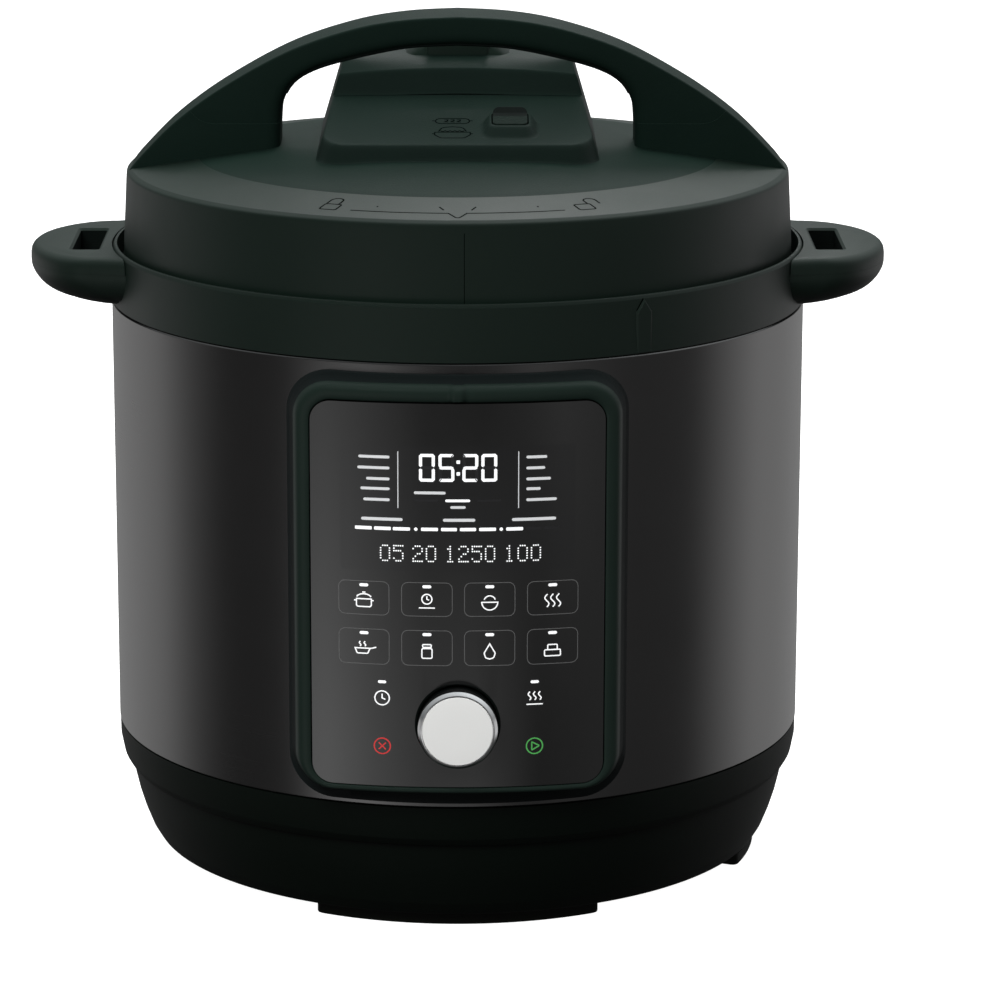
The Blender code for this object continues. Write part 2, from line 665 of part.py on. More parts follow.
# ---- lid -----------------------------------------------------------------------------------------------------
def console_profile(inset):
    """Side profile of the ridge on the lid as (Y, Z) points: a low front deck, a step and a plateau."""
    return [(-54.0 + inset, 276.0), (-54.0 + inset, 283.4), (DECK_FRONT[0] + inset, DECK_FRONT[1] - inset * 0.9),
            (-4.0 + inset * 1.1, 301.7 - inset * 0.9), (-1.0 + inset * 1.1, 311.4 - inset * 0.9),
            (11.0 + inset * 0.4, 315.2 - inset), (CONSOLE_BACK - 5.0 - inset * 0.8, 315.4 - inset),
            (CONSOLE_BACK - inset, 283.4), (CONSOLE_BACK - inset, 276.0)]


def console_body(name, inset, drop):
    """The ridge between its two leaning sides; drop lowers its underside."""
    profile = [(y, z - drop if z < 280.0 else z) for y, z in console_profile(inset)]
    sections = []
    for side in (-1, 1):
        half = [CONSOLE_HALF_WIDTH - inset - CONSOLE_TAPER * (max(z, 265.0) - CONSOLE_FOOT) for _, z in profile]
        sections.append([(side * h, y, z) for h, (y, z) in zip(half, profile)])
    return loft(name, sections, None)


def grip_outer():
    """Right half of the handle's outer line, from the top centre to the rim of the lid."""
    top = OVERALL_HEIGHT
    return smooth_through([(0.0, top), (20.0, 332.4), (40.0, 328.9), (64.5, 320.7), (89.8, 307.0),
                           (108.8, 293.4), (122.9, 279.5), (128.3, 272.4)], per_span=3)


def grip_inner():
    """Right half of the finger opening's edge, from its foot up to the top centre."""
    return smooth_through([(68.7, GRIP_SEAM + GAP), (68.0, 297.0), (64.8, 306.0), (57.0, 311.8),
                           (40.0, 317.0), (20.0, 321.0), (0.0, 322.2)], per_span=2)


def seam_curve(height):
    """The joint line between the grip and the lid's foot, from the opening out to the outer line."""
    return [(94.0, GRIP_SEAM + height), (99.4, 293.2 + height), (102.4, 296.0 + height)]


def lid_foot(label, side):
    """The triangular foot of the handle, moulded on the lid."""
    outer = [point for point in grip_outer() if point[1] < 296.0]
    outline = [(68.7, 280.0), (68.7, GRIP_SEAM), *seam_curve(0.0), *outer, (128.3, 271.8), (100.0, 275.6)]
    outline = [(side * x, z) for x, z in outline]
    return plate(f"lid_foot_{label}", outline, -GRIP_HALF_DEPTH, GRIP_HALF_DEPTH, None, facing="Y")


def lid_cover(lid):
    """The moulded lid: wall, stepped dome, console ridge, button boss and handle feet, open below."""
    cover = turned("lid_cover", [
        (0.0, 284.4), (60.0, 283.5), (80.0, 281.5), (99.0, 278.7), (101.0, 278.1), (126.8, 274.5),
        (128.6, 273.6), (LID_RIM_RADIUS, 271.8), (LID_RADIUS, 245.0), (LID_RADIUS, LID_BOTTOM),
        (128.2, LID_BOTTOM), (127.9, 245.0), (126.6, 270.6), (124.8, 271.9), (98.8, 275.4),
        (79.6, 278.7), (59.8, 280.8), (0.0, 281.7),
    ], PLASTIC, steps=RING_STEPS, parent=lid)
    join(cover, console_body("console_body", 0.0, 0.0))
    button_x, button_y = BUTTON_CENTRE
    boss_low = rounded_rectangle((button_x, button_y - 0.5), (22.0, 19.0), 5.0, count=3)
    boss_high = rounded_rectangle((button_x, button_y), (15.6, 13.4), 2.6, count=3)
    deck_height = DECK_FRONT[1] + 0.4
    join(cover, loft("button_boss", [
        [(x, y, deck_height + DECK_SLOPE * (y - DECK_FRONT[0]) - 1.0) for x, y in boss_low],
        [(x, y, deck_height + DECK_SLOPE * (y - DECK_FRONT[0]) + 3.6) for x, y in boss_high],
    ], None))
    for label, side in (("right", 1), ("left", -1)):
        join(cover, lid_foot(label, side))
    cut(cover, console_body("console_void_cutter", LID_SKIN, 12.0))
    cut(cover, box("button_hole_cutter", (button_x - 7.0, button_y - 5.9, 280.0),
                   (button_x + 7.0, button_y + 5.9, 310.0), None))
    cut(cover, disc("valve_hole_cutter", 18.0, 300.0, 325.0, None, steps=32, centre=(0.0, VALVE_Y, 0.0)))
    cut(cover, disc("float_hole_cutter", 4.4, 300.0, 325.0, None, centre=(*FLOAT_CENTRE, 0.0)))
    for label, side in (("right", 1), ("left", -1)):
        cut(cover, disc(f"foot_screw_cutter_{label}", 2.4, 270.0, 300.0, None, steps=12,
                        centre=(side * 84.0, 0.0, 0.0)))
    return cover


def lid_handle(lid):
    """The arched grip on the lid's feet, its underside liner and the two screws that hold it."""
    inner = offset_outwards(grip_inner(), -(GRIP_LINER + GAP))
    inner[-1] = (0.0, inner[-1][1])
    inner[0] = (inner[0][0], GRIP_SEAM + GAP)
    outer = [point for point in grip_outer() if point[1] > 299.6]
    right = [*outer, *reversed(seam_curve(GAP)), *inner]
    whole = right + [(-x, z) for x, z in reversed(right[1:-1])]
    grip = plate("handle_grip", whole, -GRIP_HALF_DEPTH, GRIP_HALF_DEPTH, PLASTIC, facing="Y", parent=lid)
    soften(grip, 0.8)
    edge = grip_inner()
    back = offset_outwards(edge, -GRIP_LINER)
    back[-1] = (0.0, back[-1][1])
    back[0] = (back[0][0], GRIP_SEAM + GAP)
    liner = [*edge, *mirrored(edge), *[(-x, z) for x, z in back[:-1]], *reversed(back)]
    plate("handle_liner", liner, -GRIP_HALF_DEPTH + 1.0, GRIP_HALF_DEPTH - 1.0, PLASTIC, facing="Y", parent=lid)
    for label, side in (("right", 1), ("left", -1)):
        centre = (side * 84.0, 0.0, 0.0)
        cut(grip, disc(f"grip_screw_cutter_{label}", 2.4, 285.0, 304.4, None, steps=12, centre=centre))
        turned(f"handle_screw_{label}", [
            (0.0, 304.0), (2.0, 303.0), (2.0, 276.6), (4.6, 276.6), (4.6, 274.0), (0.0, 274.0),
        ], STEEL, steps=12, centre=centre, parent=lid)


def lid_metal(lid):
    """The steel inner lid with its inward bayonet lugs, and the rack that carries the seal."""
    steel = turned("inner_lid", [
        (0.0, 259.2), (96.0, 259.2), (104.0, 256.0), (126.2, 254.4), (127.2, 253.0), (127.2, 235.6),
        (126.0, 235.6), (126.0, 252.8), (103.6, 254.8), (95.6, 258.0), (0.0, 258.0),
    ], STEEL, steps=POT_STEPS, parent=lid)
    for i in range(LUG_COUNT):
        middle = math.radians(-90) + 2 * math.pi * i / LUG_COUNT
        join(steel, lug_sector(f"inner_lid_lug_{i}", 122.4, 126.6, 236.0, 237.4, middle))
    cut(steel, disc("pipe_hole_cutter", 5.6, 250.0, 262.0, None, centre=(0.0, VALVE_Y, 0.0)))
    cut(steel, disc("float_pipe_cutter", 3.6, 250.0, 262.0, None, centre=(*FLOAT_CENTRE, 0.0)))
    cut(steel, disc("lock_pin_hole_cutter", 1.9, 250.0, 262.0, None, steps=8, centre=(LOCK_PIN_X, LOCK_PIN_Y, 0.0)))
    ring("seal_rack", 102.8, 105.4, 244.4, 254.2, STEEL, steps=POT_STEPS, parent=lid)


def sealing_ring(hoist):
    """The silicone ring under the inner lid; it lifts off with the lid and needn't turn with it."""
    turned("sealing_ring", [
        (106.6, 252.4), (120.0, 252.4), (120.8, 250.6), (120.8, 245.0), (117.6, 242.2), (109.6, 242.2),
        (107.0, 244.2),
    ], SILICONE, steps=POT_STEPS, parent=hoist)


def steam_release(lid):
    """The steam pipe, its screen and nut, the weighted valve, the button and the lever between them."""
    valve = (0.0, VALVE_Y, 0.0)
    ring("steam_pipe", 2.0, 5.0, 248.0, 312.0, STEEL, centre=valve, parent=lid)
    ring("pipe_nut", 6.2, 10.0, 259.6, 264.4, STEEL, steps=6, centre=valve, parent=lid)
    screen = turned("valve_screen", [
        (5.4, 255.8), (14.0, 255.8), (14.0, 247.0), (11.0, 243.6), (0.0, 243.6), (0.0, 244.8), (10.4, 244.8),
        (12.8, 247.6), (12.8, 254.6), (5.4, 254.6),
    ], STEEL, steps=16, centre=valve, parent=lid)
    for i in range(4):
        start = math.radians(45 + 90 * i)
        x = 13.4 * math.cos(start)
        y = VALVE_Y + 13.4 * math.sin(start)
        cut(screen, box(f"screen_slot_cutter_{i}", (x - 2.0, y - 2.0, 248.6), (x + 2.0, y + 2.0, 253.2), None))
    turned("valve_cover", [
        (13.6, 319.2), (19.6, 319.2), (20.5, 318.2), (20.5, 315.8), (17.6, 315.8), (17.6, 309.0),
        (16.0, 309.0), (16.0, 315.4), (13.6, 316.4),
    ], PLASTIC, steps=24, centre=valve, parent=lid)
    lift = joint_empty("valve_lift_axis", (0.0, VALVE_Y, 306.0), lid)
    turned("steam_valve", [
        (0.0, 326.0), (10.6, 326.0), (12.2, 324.4), (12.2, 306.0), (6.4, 306.0), (6.4, 313.6), (0.0, 313.6),
    ], PLASTIC, steps=20, centre=valve, parent=lift)
    release_button(lid)
    release_lever(lid)


def release_button(lid):
    """The steam release button, which travels down through its boss and is kept in by a flange."""
    button_x, button_y = BUTTON_CENTRE
    press = joint_empty("button_press_axis", (button_x, button_y, 300.0), lid)
    half = rounded_rectangle((button_x, button_y), (13.2, 11.0), 1.6, count=3)
    crown = rounded_rectangle((button_x, button_y), (12.0, 9.8), 1.6, count=3)
    button = loft("release_button", [
        [(x, y, 285.4) for x, y in half],
        [(x, y, 299.6 + DECK_SLOPE * (y - button_y)) for x, y in half],
        [(x, y, 300.4 + DECK_SLOPE * (y - button_y)) for x, y in crown],
    ], PLASTIC, press)
    flange = box("button_flange", (button_x - 9.0, button_y - 7.4, 285.5), (button_x + 9.0, button_y + 7.4, 287.2),
                 None)
    join(button, flange)


def release_lever(lid):
    """The rocking lever: its front end lies under the button, its back end under the valve's skirt."""
    pivot = joint_empty("lever_axis", (LEVER_PIVOT[0], LEVER_PIVOT[1], LEVER_PIVOT[2]), lid)
    half = 3.0
    line = [(20.0, -41.0, 281.2, 3.2), (20.0, -30.0, 281.2, 3.2), (12.6, -12.0, 287.8, 5.4),
            (9.4, -4.0, 291.4, 5.4), (2.0, 14.0, 299.6, 3.2), (0.0, 25.4, 301.4, 3.2)]
    sections = []
    for x, y, z, height in line:
        sections.append([(x - half, y, z), (x + half, y, z), (x + half, y, z + height), (x - half, y, z + height)])
    lever = loft("release_lever", sections, BLACK_PLASTIC, pivot)
    cut(lever, box("lever_bore_cutter", (0.0, LEVER_PIVOT[1] - 1.3, LEVER_PIVOT[2] - 1.3),
                   (22.0, LEVER_PIVOT[1] + 1.3, LEVER_PIVOT[2] + 1.3), None))
    pin = disc("lever_pin", 1.0, -9.0, 9.0, STEEL, steps=12)
    pin.location = Vector(LEVER_PIVOT) * MM
    pin.rotation_euler = (0.0, math.pi / 2, 0.0)
    bpy.context.view_layer.update()
    hang(pin, lid)
    coil_spring("button_spring", (20.0, -36.0), 3.6, 0.9, 259.6, 280.6, 6, parent=lid)


def float_valve(lid):
    """The pin that steam pushes up as the pressure rises, with its silicone cap below."""
    rise = joint_empty("float_rise_axis", (*FLOAT_CENTRE, 312.0), lid)
    turned("float_valve", [
        (0.0, 316.6), (3.4, 316.6), (4.0, 315.8), (4.0, 311.0), (2.2, 310.0), (2.2, 246.4), (0.0, 246.4),
    ], STEEL, centre=(*FLOAT_CENTRE, 0.0), parent=rise)
    turned("float_seal", [
        (2.5, 249.6), (5.8, 249.6), (6.8, 248.4), (6.0, 246.6), (2.5, 246.6),
    ], SILICONE, centre=(*FLOAT_CENTRE, 0.0), parent=rise)


def lock_pin(lid):
    """The lid's locking pin and its spring, held in a guide under the cover."""
    slide = joint_empty("lock_pin_axis", (LOCK_PIN_X, LOCK_PIN_Y, 262.0), lid)
    centre = (LOCK_PIN_X, LOCK_PIN_Y, 0.0)
    turned("lock_pin", [
        (0.0, 266.0), (1.5, 266.0), (1.5, 259.4), (3.0, 259.4), (3.0, 257.8), (1.5, 257.8), (1.5, 240.8),
        (0.0, 240.8),
    ], STEEL, steps=12, centre=centre, parent=slide)
    coil_spring("lock_pin_spring", (LOCK_PIN_X, LOCK_PIN_Y), 2.3, 0.6, 259.8, 268.6, 4, parent=lid)


# ---- assembly --------------------------------------------------------------------------------------------------
def build():
    base_shell()
    for number, place in enumerate(screw_places(), start=1):
        base_screw(number, place)
    foot("front_foot", -90.0, FRONT_FOOT_RADIUS, FRONT_FOOT_HALF_DEGREES)
    foot("right_foot", 4.0, SIDE_FOOT_RADIUS)
    foot("left_foot", 153.0, SIDE_FOOT_RADIUS)
    power_inlet()
    metal_sleeve()
    upper_collar()
    handle_cap("right", 1)
    handle_cap("left", -1)
    outer_pot()
    inner_pot()
    heater()
    power_electronics()
    panel_bezel()
    panel_stack()
    dial()
    condensation_collector()

    hoist = joint_empty("lid_lift_axis", (0.0, 0.0, 250.0))
    lid = joint_empty("lid_turn_axis", (0.0, 0.0, 250.0), hoist)
    sealing_ring(hoist)
    lid_cover(lid)
    lid_handle(lid)
    lid_metal(lid)
    steam_release(lid)
    float_valve(lid)
    lock_pin(lid)


build()
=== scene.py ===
"""Electric pressure cooker: the visible model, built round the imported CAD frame.

Sizes below are in millimetres in the frame's axes: +Z up, the front towards -Y. MM turns them into metres.
"""

import math

import bmesh
import bpy
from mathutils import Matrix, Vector
from mathutils.geometry import tessellate_polygon


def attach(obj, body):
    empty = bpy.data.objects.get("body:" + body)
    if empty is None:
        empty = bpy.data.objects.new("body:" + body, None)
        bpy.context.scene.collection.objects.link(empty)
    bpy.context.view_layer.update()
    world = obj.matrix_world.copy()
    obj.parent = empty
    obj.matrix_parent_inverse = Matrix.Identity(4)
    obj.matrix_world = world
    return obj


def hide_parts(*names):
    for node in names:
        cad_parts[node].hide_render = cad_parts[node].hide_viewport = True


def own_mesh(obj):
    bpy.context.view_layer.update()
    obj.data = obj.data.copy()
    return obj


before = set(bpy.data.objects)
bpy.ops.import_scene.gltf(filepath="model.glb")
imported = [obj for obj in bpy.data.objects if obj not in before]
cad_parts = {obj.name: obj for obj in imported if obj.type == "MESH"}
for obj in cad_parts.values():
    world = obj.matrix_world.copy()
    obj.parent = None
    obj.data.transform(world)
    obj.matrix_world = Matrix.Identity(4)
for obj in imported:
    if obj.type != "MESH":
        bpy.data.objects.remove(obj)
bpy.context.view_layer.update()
MM = 0.001
RING = 224     # facets round the body
SMALL = 64     # facets round a small turned piece
ORIGIN = (0.0, 0.0, 0.0)
SIDES = (("right", 1), ("left", -1))
SLOT_MIDDLE = 144.75            # from the axis to the middle of a side handle's slot
STEAM_VALVE = (0.0, 32.0)
FLOAT_VALVE = (-32.0, 32.0)
BUTTON = (20.0, -37.0)
DIAL_Z = 89.1


# ---- finishes --------------------------------------------
def fill(tree, item, inputs):
    """Give each input of a node a value or the socket that feeds it."""
    for key, value in inputs.items():
        if isinstance(value, bpy.types.NodeSocket):
            tree.links.new(value, item.inputs[key])
        else:
            item.inputs[key].default_value = value


def new_node(tree, kind, inputs=None, **settings):
    """Add a shader node with its settings and inputs."""
    item = tree.nodes.new("ShaderNode" + kind)
    for key, value in settings.items():
        setattr(item, key, value)
    fill(tree, item, inputs or {})
    return item


def ramp(tree, source, stops, colour=(1.0, 1.0, 1.0)):
    """A ramp fed by a socket; a stop has a place and a share of the colour."""
    result = new_node(tree, "ValToRGB", {"Fac": source})
    elements = result.color_ramp.elements
    while len(elements) < len(stops):
        elements.new(0.5)
    for element, (place, share) in zip(elements, stops):
        element.position = place
        element.color = (*(share * channel for channel in colour), 1.0)
    return result.outputs["Color"]


def coordinates(tree, pattern, centre=ORIGIN):
    """Texture space in metres: as it is, or as (radius, height) round the Z or Y axis for turned pieces."""
    place = new_node(tree, "TexCoord").outputs["Object"]
    if pattern == "even":
        return place
    flatten, axis = {"round_z": ((1, 1, 0), "Z"), "round_y": ((1, 0, 1), "Y")}[pattern]
    moved = new_node(tree, "VectorMath", {0: place, 1: centre}, operation="SUBTRACT").outputs[0]
    flat = new_node(tree, "VectorMath", {0: moved, 1: flatten}, operation="MULTIPLY").outputs[0]
    radius = new_node(tree, "VectorMath", {0: flat}, operation="LENGTH").outputs["Value"]
    height = new_node(tree, "SeparateXYZ", {0: moved}).outputs[axis]
    return new_node(tree, "CombineXYZ", {"X": radius, "Y": height}).outputs[0]


def noise(tree, space, scale, detail, roughness):
    """The grey value of a noise pattern."""
    values = {"Vector": space, "Scale": scale, "Detail": detail, "Roughness": roughness}
    return new_node(tree, "TexNoise", values).outputs["Fac"]


def finish(name, slot, colour, roughness, metallic=0.0, pattern="even", centre=ORIGIN, grain=2600.0,
           depth=0.02, tint=0.10, spread=0.05, **shader_values):
    """A procedural finish: fine relief, slow drifts of tone and a roughness that varies with them."""
    result = bpy.data.materials.new(name)
    result.use_nodes = True
    tree = result.node_tree
    slow = noise(tree, coordinates(tree, "even"), 14.0, 4.0, 0.6)
    fine = noise(tree, coordinates(tree, pattern, centre), grain, 3.0, 0.55)
    both = new_node(tree, "Mix", {"Factor": 0.35, 2: slow, 3: fine}, data_type="FLOAT").outputs[0]
    shine = new_node(tree, "MapRange", {"Value": both, "From Min": 0.3, "From Max": 0.7,
                                        "To Min": roughness - spread, "To Max": roughness + spread})
    relief = new_node(tree, "Bump", {"Height": fine, "Strength": 1.0, "Distance": depth * MM})
    values = {key.replace("_", " "): value for key, value in shader_values.items()}
    values["Metallic"] = metallic
    values["Base Color"] = ramp(tree, both, [(0.30, 1.0 - tint), (0.70, 1.0 + tint)], colour)
    values["Roughness"] = shine.outputs["Result"]
    values["Normal"] = relief.outputs["Normal"]
    fill(tree, tree.nodes["Principled BSDF"], values)
    result["slot"] = slot
    return result


def green_black(name, colour, roughness, specular, **settings):
    """One of the dark green plastics, which differ in shade, gloss and grain."""
    return finish(name, "dark_green_plastic", colour, roughness, Specular_IOR_Level=specular, **settings)


def lit(name, colour, glow):
    """A legend with a glow: the display's figures and words are its lamps, and the printed legends glow too,
    a painted glow that keeps them bright.
    """
    return finish(name, "gloss_film", colour, 0.4, depth=0.002, tint=0.03, Emission_Color=(*colour, 1.0),
                  Emission_Strength=glow)


LEATHERY = {"grain": 1500.0, "depth": 0.085, "tint": 0.16}
GLOSSY = {"grain": 900.0, "depth": 0.0006, "spread": 0.02}
DIAL_GRAIN = {"pattern": "round_y", "centre": (0.0, 0.0, DIAL_Z * MM), "tint": 0.02}
PLASTIC = green_black("moulded_green_black", (0.0050, 0.0108, 0.0078), 0.50, 0.46, depth=0.030)
GRAINED = green_black("grained_green_black", (0.0048, 0.0110, 0.0084), 0.58, 0.12, **LEATHERY)
RIDGE = green_black("grained_ridge", (0.0052, 0.0112, 0.0088), 0.56, 0.22, **LEATHERY)
BOWL = green_black("moulded_black_bowl", (0.0022, 0.0040, 0.0028), 0.60, 0.16, depth=0.030)
BEZEL = green_black("moulded_bezel", (0.0104, 0.0188, 0.0150), 0.42, 0.24, depth=0.010)
# painted shade: a near-black copy of the plastic for the handle slots, the liner under the arch, the button's
# steep front and the dial's recess
PAINTED_SHADE_PLASTIC = green_black("dark_plastic_painted_shade", (0.0040, 0.0058, 0.0052), 0.62, 0.10)
# painted shade: a darker, greyer copy of the bezel's plastic for its side walls
SHADED_BEZEL_SIDES = green_black("bezel_sides_painted_shade", (0.0066, 0.0092, 0.0092), 0.55, 0.16)
# near-black lines: engraved marks and a mould seam, and also painted shade beside the collar pointer and at
# the step's foot
LINE_AND_SHADE_PLASTIC = green_black("line_marks_and_painted_shade", (0.0006, 0.0009, 0.0008), 0.80, 0.02)
COARSE = green_black("textured_green_black", (0.0062, 0.0112, 0.0090), 0.62, 0.13, grain=700.0, depth=0.30,
                     tint=0.4)
BLACK_STEEL = finish("black_stainless", "black_stainless", (0.145, 0.143, 0.143), 0.25, 1.0,
                     pattern="round_z", grain=1500.0, depth=0.004, tint=0.05, spread=0.03)
STEEL = finish("brushed_steel", "stainless_steel", (0.60, 0.59, 0.57), 0.24, 1.0, pattern="round_z",
               grain=1300.0, depth=0.010, tint=0.05)
STEEL_PLAIN = finish("pressed_steel", "stainless_steel", (0.58, 0.57, 0.55), 0.30, 1.0, grain=1500.0,
                     depth=0.006)
SPRING = finish("spring_wire", "spring_steel", (0.46, 0.46, 0.46), 0.30, 1.0, depth=0.006)
ALUMINIUM = finish("cast_aluminium", "cast_aluminium", (0.62, 0.63, 0.64), 0.46, 1.0, grain=700.0, depth=0.05)
SATIN = finish("satin_dial", "satin_silver", (0.97, 0.97, 0.95), 0.42, depth=0.006, **DIAL_GRAIN)
POLISHED = finish("polished_ring", "satin_silver", (0.86, 0.86, 0.87), 0.14, 1.0, grain=1500.0, depth=0.002,
                  spread=0.02, **DIAL_GRAIN)
FILM = finish("gloss_black_film", "gloss_film", (0.0066, 0.0066, 0.0065), 0.13, tint=0.15, IOR=1.75, **GLOSSY)
DISPLAY = finish("display_window", "gloss_film", (0.0070, 0.0070, 0.0072), 0.16, IOR=1.72, **GLOSSY)
RUBBER = finish("foot_rubber", "foot_rubber", (0.0040, 0.0050, 0.0036), 0.80, grain=1300.0, depth=0.05,
                Specular_IOR_Level=0.25)
SILICONE = finish("milky_silicone", "silicone", (0.62, 0.63, 0.61), 0.42, tint=0.03, Subsurface_Weight=0.25,
                  Subsurface_Scale=0.004)
BOARD = finish("board_lacquer", "circuit_board", (0.018, 0.110, 0.045), 0.36, grain=500.0)
BLACK = finish("black_moulding", "black_plastic", (0.012, 0.012, 0.012), 0.46)
SMOKE = finish("smoke_moulding", "smoke_plastic", (0.10, 0.12, 0.115), 0.16, grain=300.0, depth=0.006,
               tint=0.05, Transmission_Weight=0.55, IOR=1.49)
# glow: the display's figures and words are lamps; on the printed key signs, key words, key frames and stop
# and start signs the glow is painted
WHITE = lit("legend_white", (0.86, 0.87, 0.88), 0.55)
LABEL = lit("legend_soft_white", (0.62, 0.63, 0.64), 0.35)
OUTLINE = lit("legend_outline", (0.12, 0.12, 0.12), 0.10)
DIM = lit("legend_unlit", (0.020, 0.020, 0.021), 0.0)
RED = lit("legend_red", (0.52, 0.035, 0.035), 0.35)
GREEN = lit("legend_green", (0.07, 0.33, 0.08), 0.35)


# ---- outlines --------------------------------------------
def arc(centre, radius, start, end, count):
    """Points on an arc, with its angles in degrees."""
    angles = [math.radians(start + (end - start) * i / (count - 1)) for i in range(count)]
    return [(centre[0] + radius * math.cos(a), centre[1] + radius * math.sin(a)) for a in angles]


def curve_through(points, spans=6):
    """A Catmull-Rom curve through the points."""
    padded = [points[0], *points, points[-1]]
    line = []
    for a, b, c, d in zip(padded, padded[1:], padded[2:], padded[3:]):
        for i in range(spans):
            t = i / spans
            line.append(tuple(0.5 * (2 * q + (r - p) * t + (2 * p - 5 * q + 4 * r - s) * t * t
                                     + (3 * q - p - 3 * r + s) * t ** 3) for p, q, r, s in zip(a, b, c, d)))
    line.append(tuple(points[-1]))
    return line


def rounded(points, closed=True, steps=5):
    """Round the corners of a line whose points are (u, v) or (u, v, radius)."""
    line = []
    count = len(points)
    for i, point in enumerate(points):
        corner = Vector(point[:2])
        radius = point[2] if len(point) > 2 else 0.0
        if radius == 0.0 or (not closed and i in (0, count - 1)):
            line.append(tuple(corner))
            continue
        before = Vector(points[i - 1][:2]) - corner
        after = Vector(points[(i + 1) % count][:2]) - corner
        half = before.angle(after) / 2
        reach = min(radius / math.tan(half), before.length * 0.49, after.length * 0.49)
        start = corner + before.normalized() * reach
        end = corner + after.normalized() * reach
        for k in range(steps + 1):
            t = k / steps
            line.append(tuple(start * (1 - t) ** 2 + corner * 2 * t * (1 - t) + end * t * t))
    return line


def round_box(centre, size, corner, steps=6):
    """A rectangle with round corners, anticlockwise from its right side."""
    half_u, half_v = size[0] / 2 - corner, size[1] / 2 - corner
    line = []
    for quarter, (u, v) in enumerate(((1, 1), (-1, 1), (-1, -1), (1, -1))):
        line += arc((centre[0] + u * half_u, centre[1] + v * half_v), corner, 90 * quarter, 90 * quarter + 90,
                    steps)
    return line

def rotated(points, angle):
    """Points turned about the origin, by radians."""
    cosine, sine = math.cos(angle), math.sin(angle)
    return [(u * cosine - v * sine, u * sine + v * cosine) for u, v in points]
def height_on(profile, place):
    """The height of a line of (place, height) points, whose places rise, at one place."""
    for (a, low), (b, high) in zip(profile, profile[1:]):
        if a <= place <= b:
            return low + (high - low) * (place - a) / (b - a)
    return profile[-1][1] if place > profile[-1][0] else profile[0][1]


# ---- solids: each returns (vertices, faces) --------------
def revolve(profile, steps=SMALL, centre=ORIGIN, forward=False):
    """Turn (radius, height) points round Z, or round -Y with heights towards the front."""
    vertices, rows, faces = [], [], []
    for radius, height in profile:
        row = []
        for i in range(1 if radius == 0.0 else steps):
            angle = 2 * math.pi * i / steps
            u, v = radius * math.cos(angle), radius * math.sin(angle)
            place = (u, -height, v) if forward else (u, v, height)
            row.append(len(vertices))
            vertices.append(tuple(p + c for p, c in zip(place, centre)))
        rows.append(row)
    pairs = list(zip(rows, rows[1:]))
    if len(rows[0]) > 1 or len(rows[-1]) > 1:
        pairs.append((rows[-1], rows[0]))
    for a, b in pairs:
        for i in range(steps):
            j = (i + 1) % steps
            corners = [a[i % len(a)], b[i % len(b)], b[j % len(b)], a[j % len(a)]]
            face = tuple(dict.fromkeys(corners))
            if len(face) > 2:
                faces.append(face)
    return vertices, faces


def loft(sections, ring=False):
    """A body through equal loops of points, capped at both ends unless the last joins the first."""
    count = len(sections[0])
    vertices = [point for section in sections for point in section]
    faces = []
    rows = len(sections)
    for row in range(rows if ring else rows - 1):
        a, b = row * count, (row + 1) % rows * count
        faces += [(a + i, a + (i + 1) % count, b + (i + 1) % count, b + i) for i in range(count)]
    if not ring:
        faces += [tuple(range(count)), tuple(range((rows - 1) * count, rows * count))]
    return vertices, faces


def stack(layers):
    """A body through level outlines, each with its height."""
    return loft([[(x, y, height) for x, y in outline] for outline, height in layers])


def prism(outline, low, high):
    """A level outline drawn out upwards."""
    return stack([(outline, low), (outline, high)])


def front_prism(outline, low, high):
    """An (x, z) outline drawn out along Y."""
    return loft([[(x, y, z) for x, z in outline] for y in (low, high)])


def rod(radius, high, low, centre=(0.0, 0.0), steps=SMALL):
    """An upright cylinder."""
    return revolve([(0.0, high), (radius, high), (radius, low), (0.0, low)], steps, (*centre, 0.0))


def block(low, high, corner=0.0):
    """A box; with a corner radius its upright edges are round."""
    centre = ((low[0] + high[0]) / 2, (low[1] + high[1]) / 2)
    size = (high[0] - low[0], high[1] - low[1])
    return prism(round_box(centre, size, max(corner, 0.01), 2 if corner == 0.0 else 5), low[2], high[2])


def draped(outline, surface, top, bottom, holes=()):
    """A thin closed plate on a surface: surface(u, v, lift) places each point at some height above it."""
    loops = [outline, *holes]
    flat = [point for loop in loops for point in loop]
    triangles = tessellate_polygon([[Vector((u, v, 0.0)) for u, v in loop] for loop in loops])
    vertices = [surface(u, v, top) for u, v in flat] + [surface(u, v, bottom) for u, v in flat]
    count = len(flat)
    faces = [tuple(t) for t in triangles] + [tuple(i + count for i in reversed(t)) for t in triangles]
    start = 0
    for loop in loops:
        for i in range(len(loop)):
            a, b = start + i, start + (i + 1) % len(loop)
            faces.append((a, b, b + count, a + count))
        start += len(loop)
    return vertices, faces


def stroke(points, width, closed):
    """The two edges of a drawn line, as pairs of points."""
    line = [Vector(p) for p in points]
    count = len(line)
    sides = []
    for i, point in enumerate(line):
        before = line[i - 1] if closed or i > 0 else point
        after = line[(i + 1) % count] if closed or i < count - 1 else point
        a = (point - before).normalized() if before != point else (after - point).normalized()
        b = (after - point).normalized() if after != point else a
        middle = a + b
        middle = middle.normalized() if middle.length > 0.01 else a
        across = Vector((-middle.y, middle.x)) * (width / 2 / max(0.5, abs(middle.dot(a))))
        sides.append((tuple(point + across), tuple(point - across)))
    return sides


def drawn(lines, width, surface, top, bottom):
    """Lines drawn on a surface, each a closed raised strip; a line is (points, closed)."""
    solids = []
    for points, closed in lines:
        sections = [[surface(*a, top), surface(*b, top), surface(*b, bottom), surface(*a, bottom)]
                    for a, b in stroke(points, width, closed)]
        solids.append(loft(sections, ring=closed))
    return solids


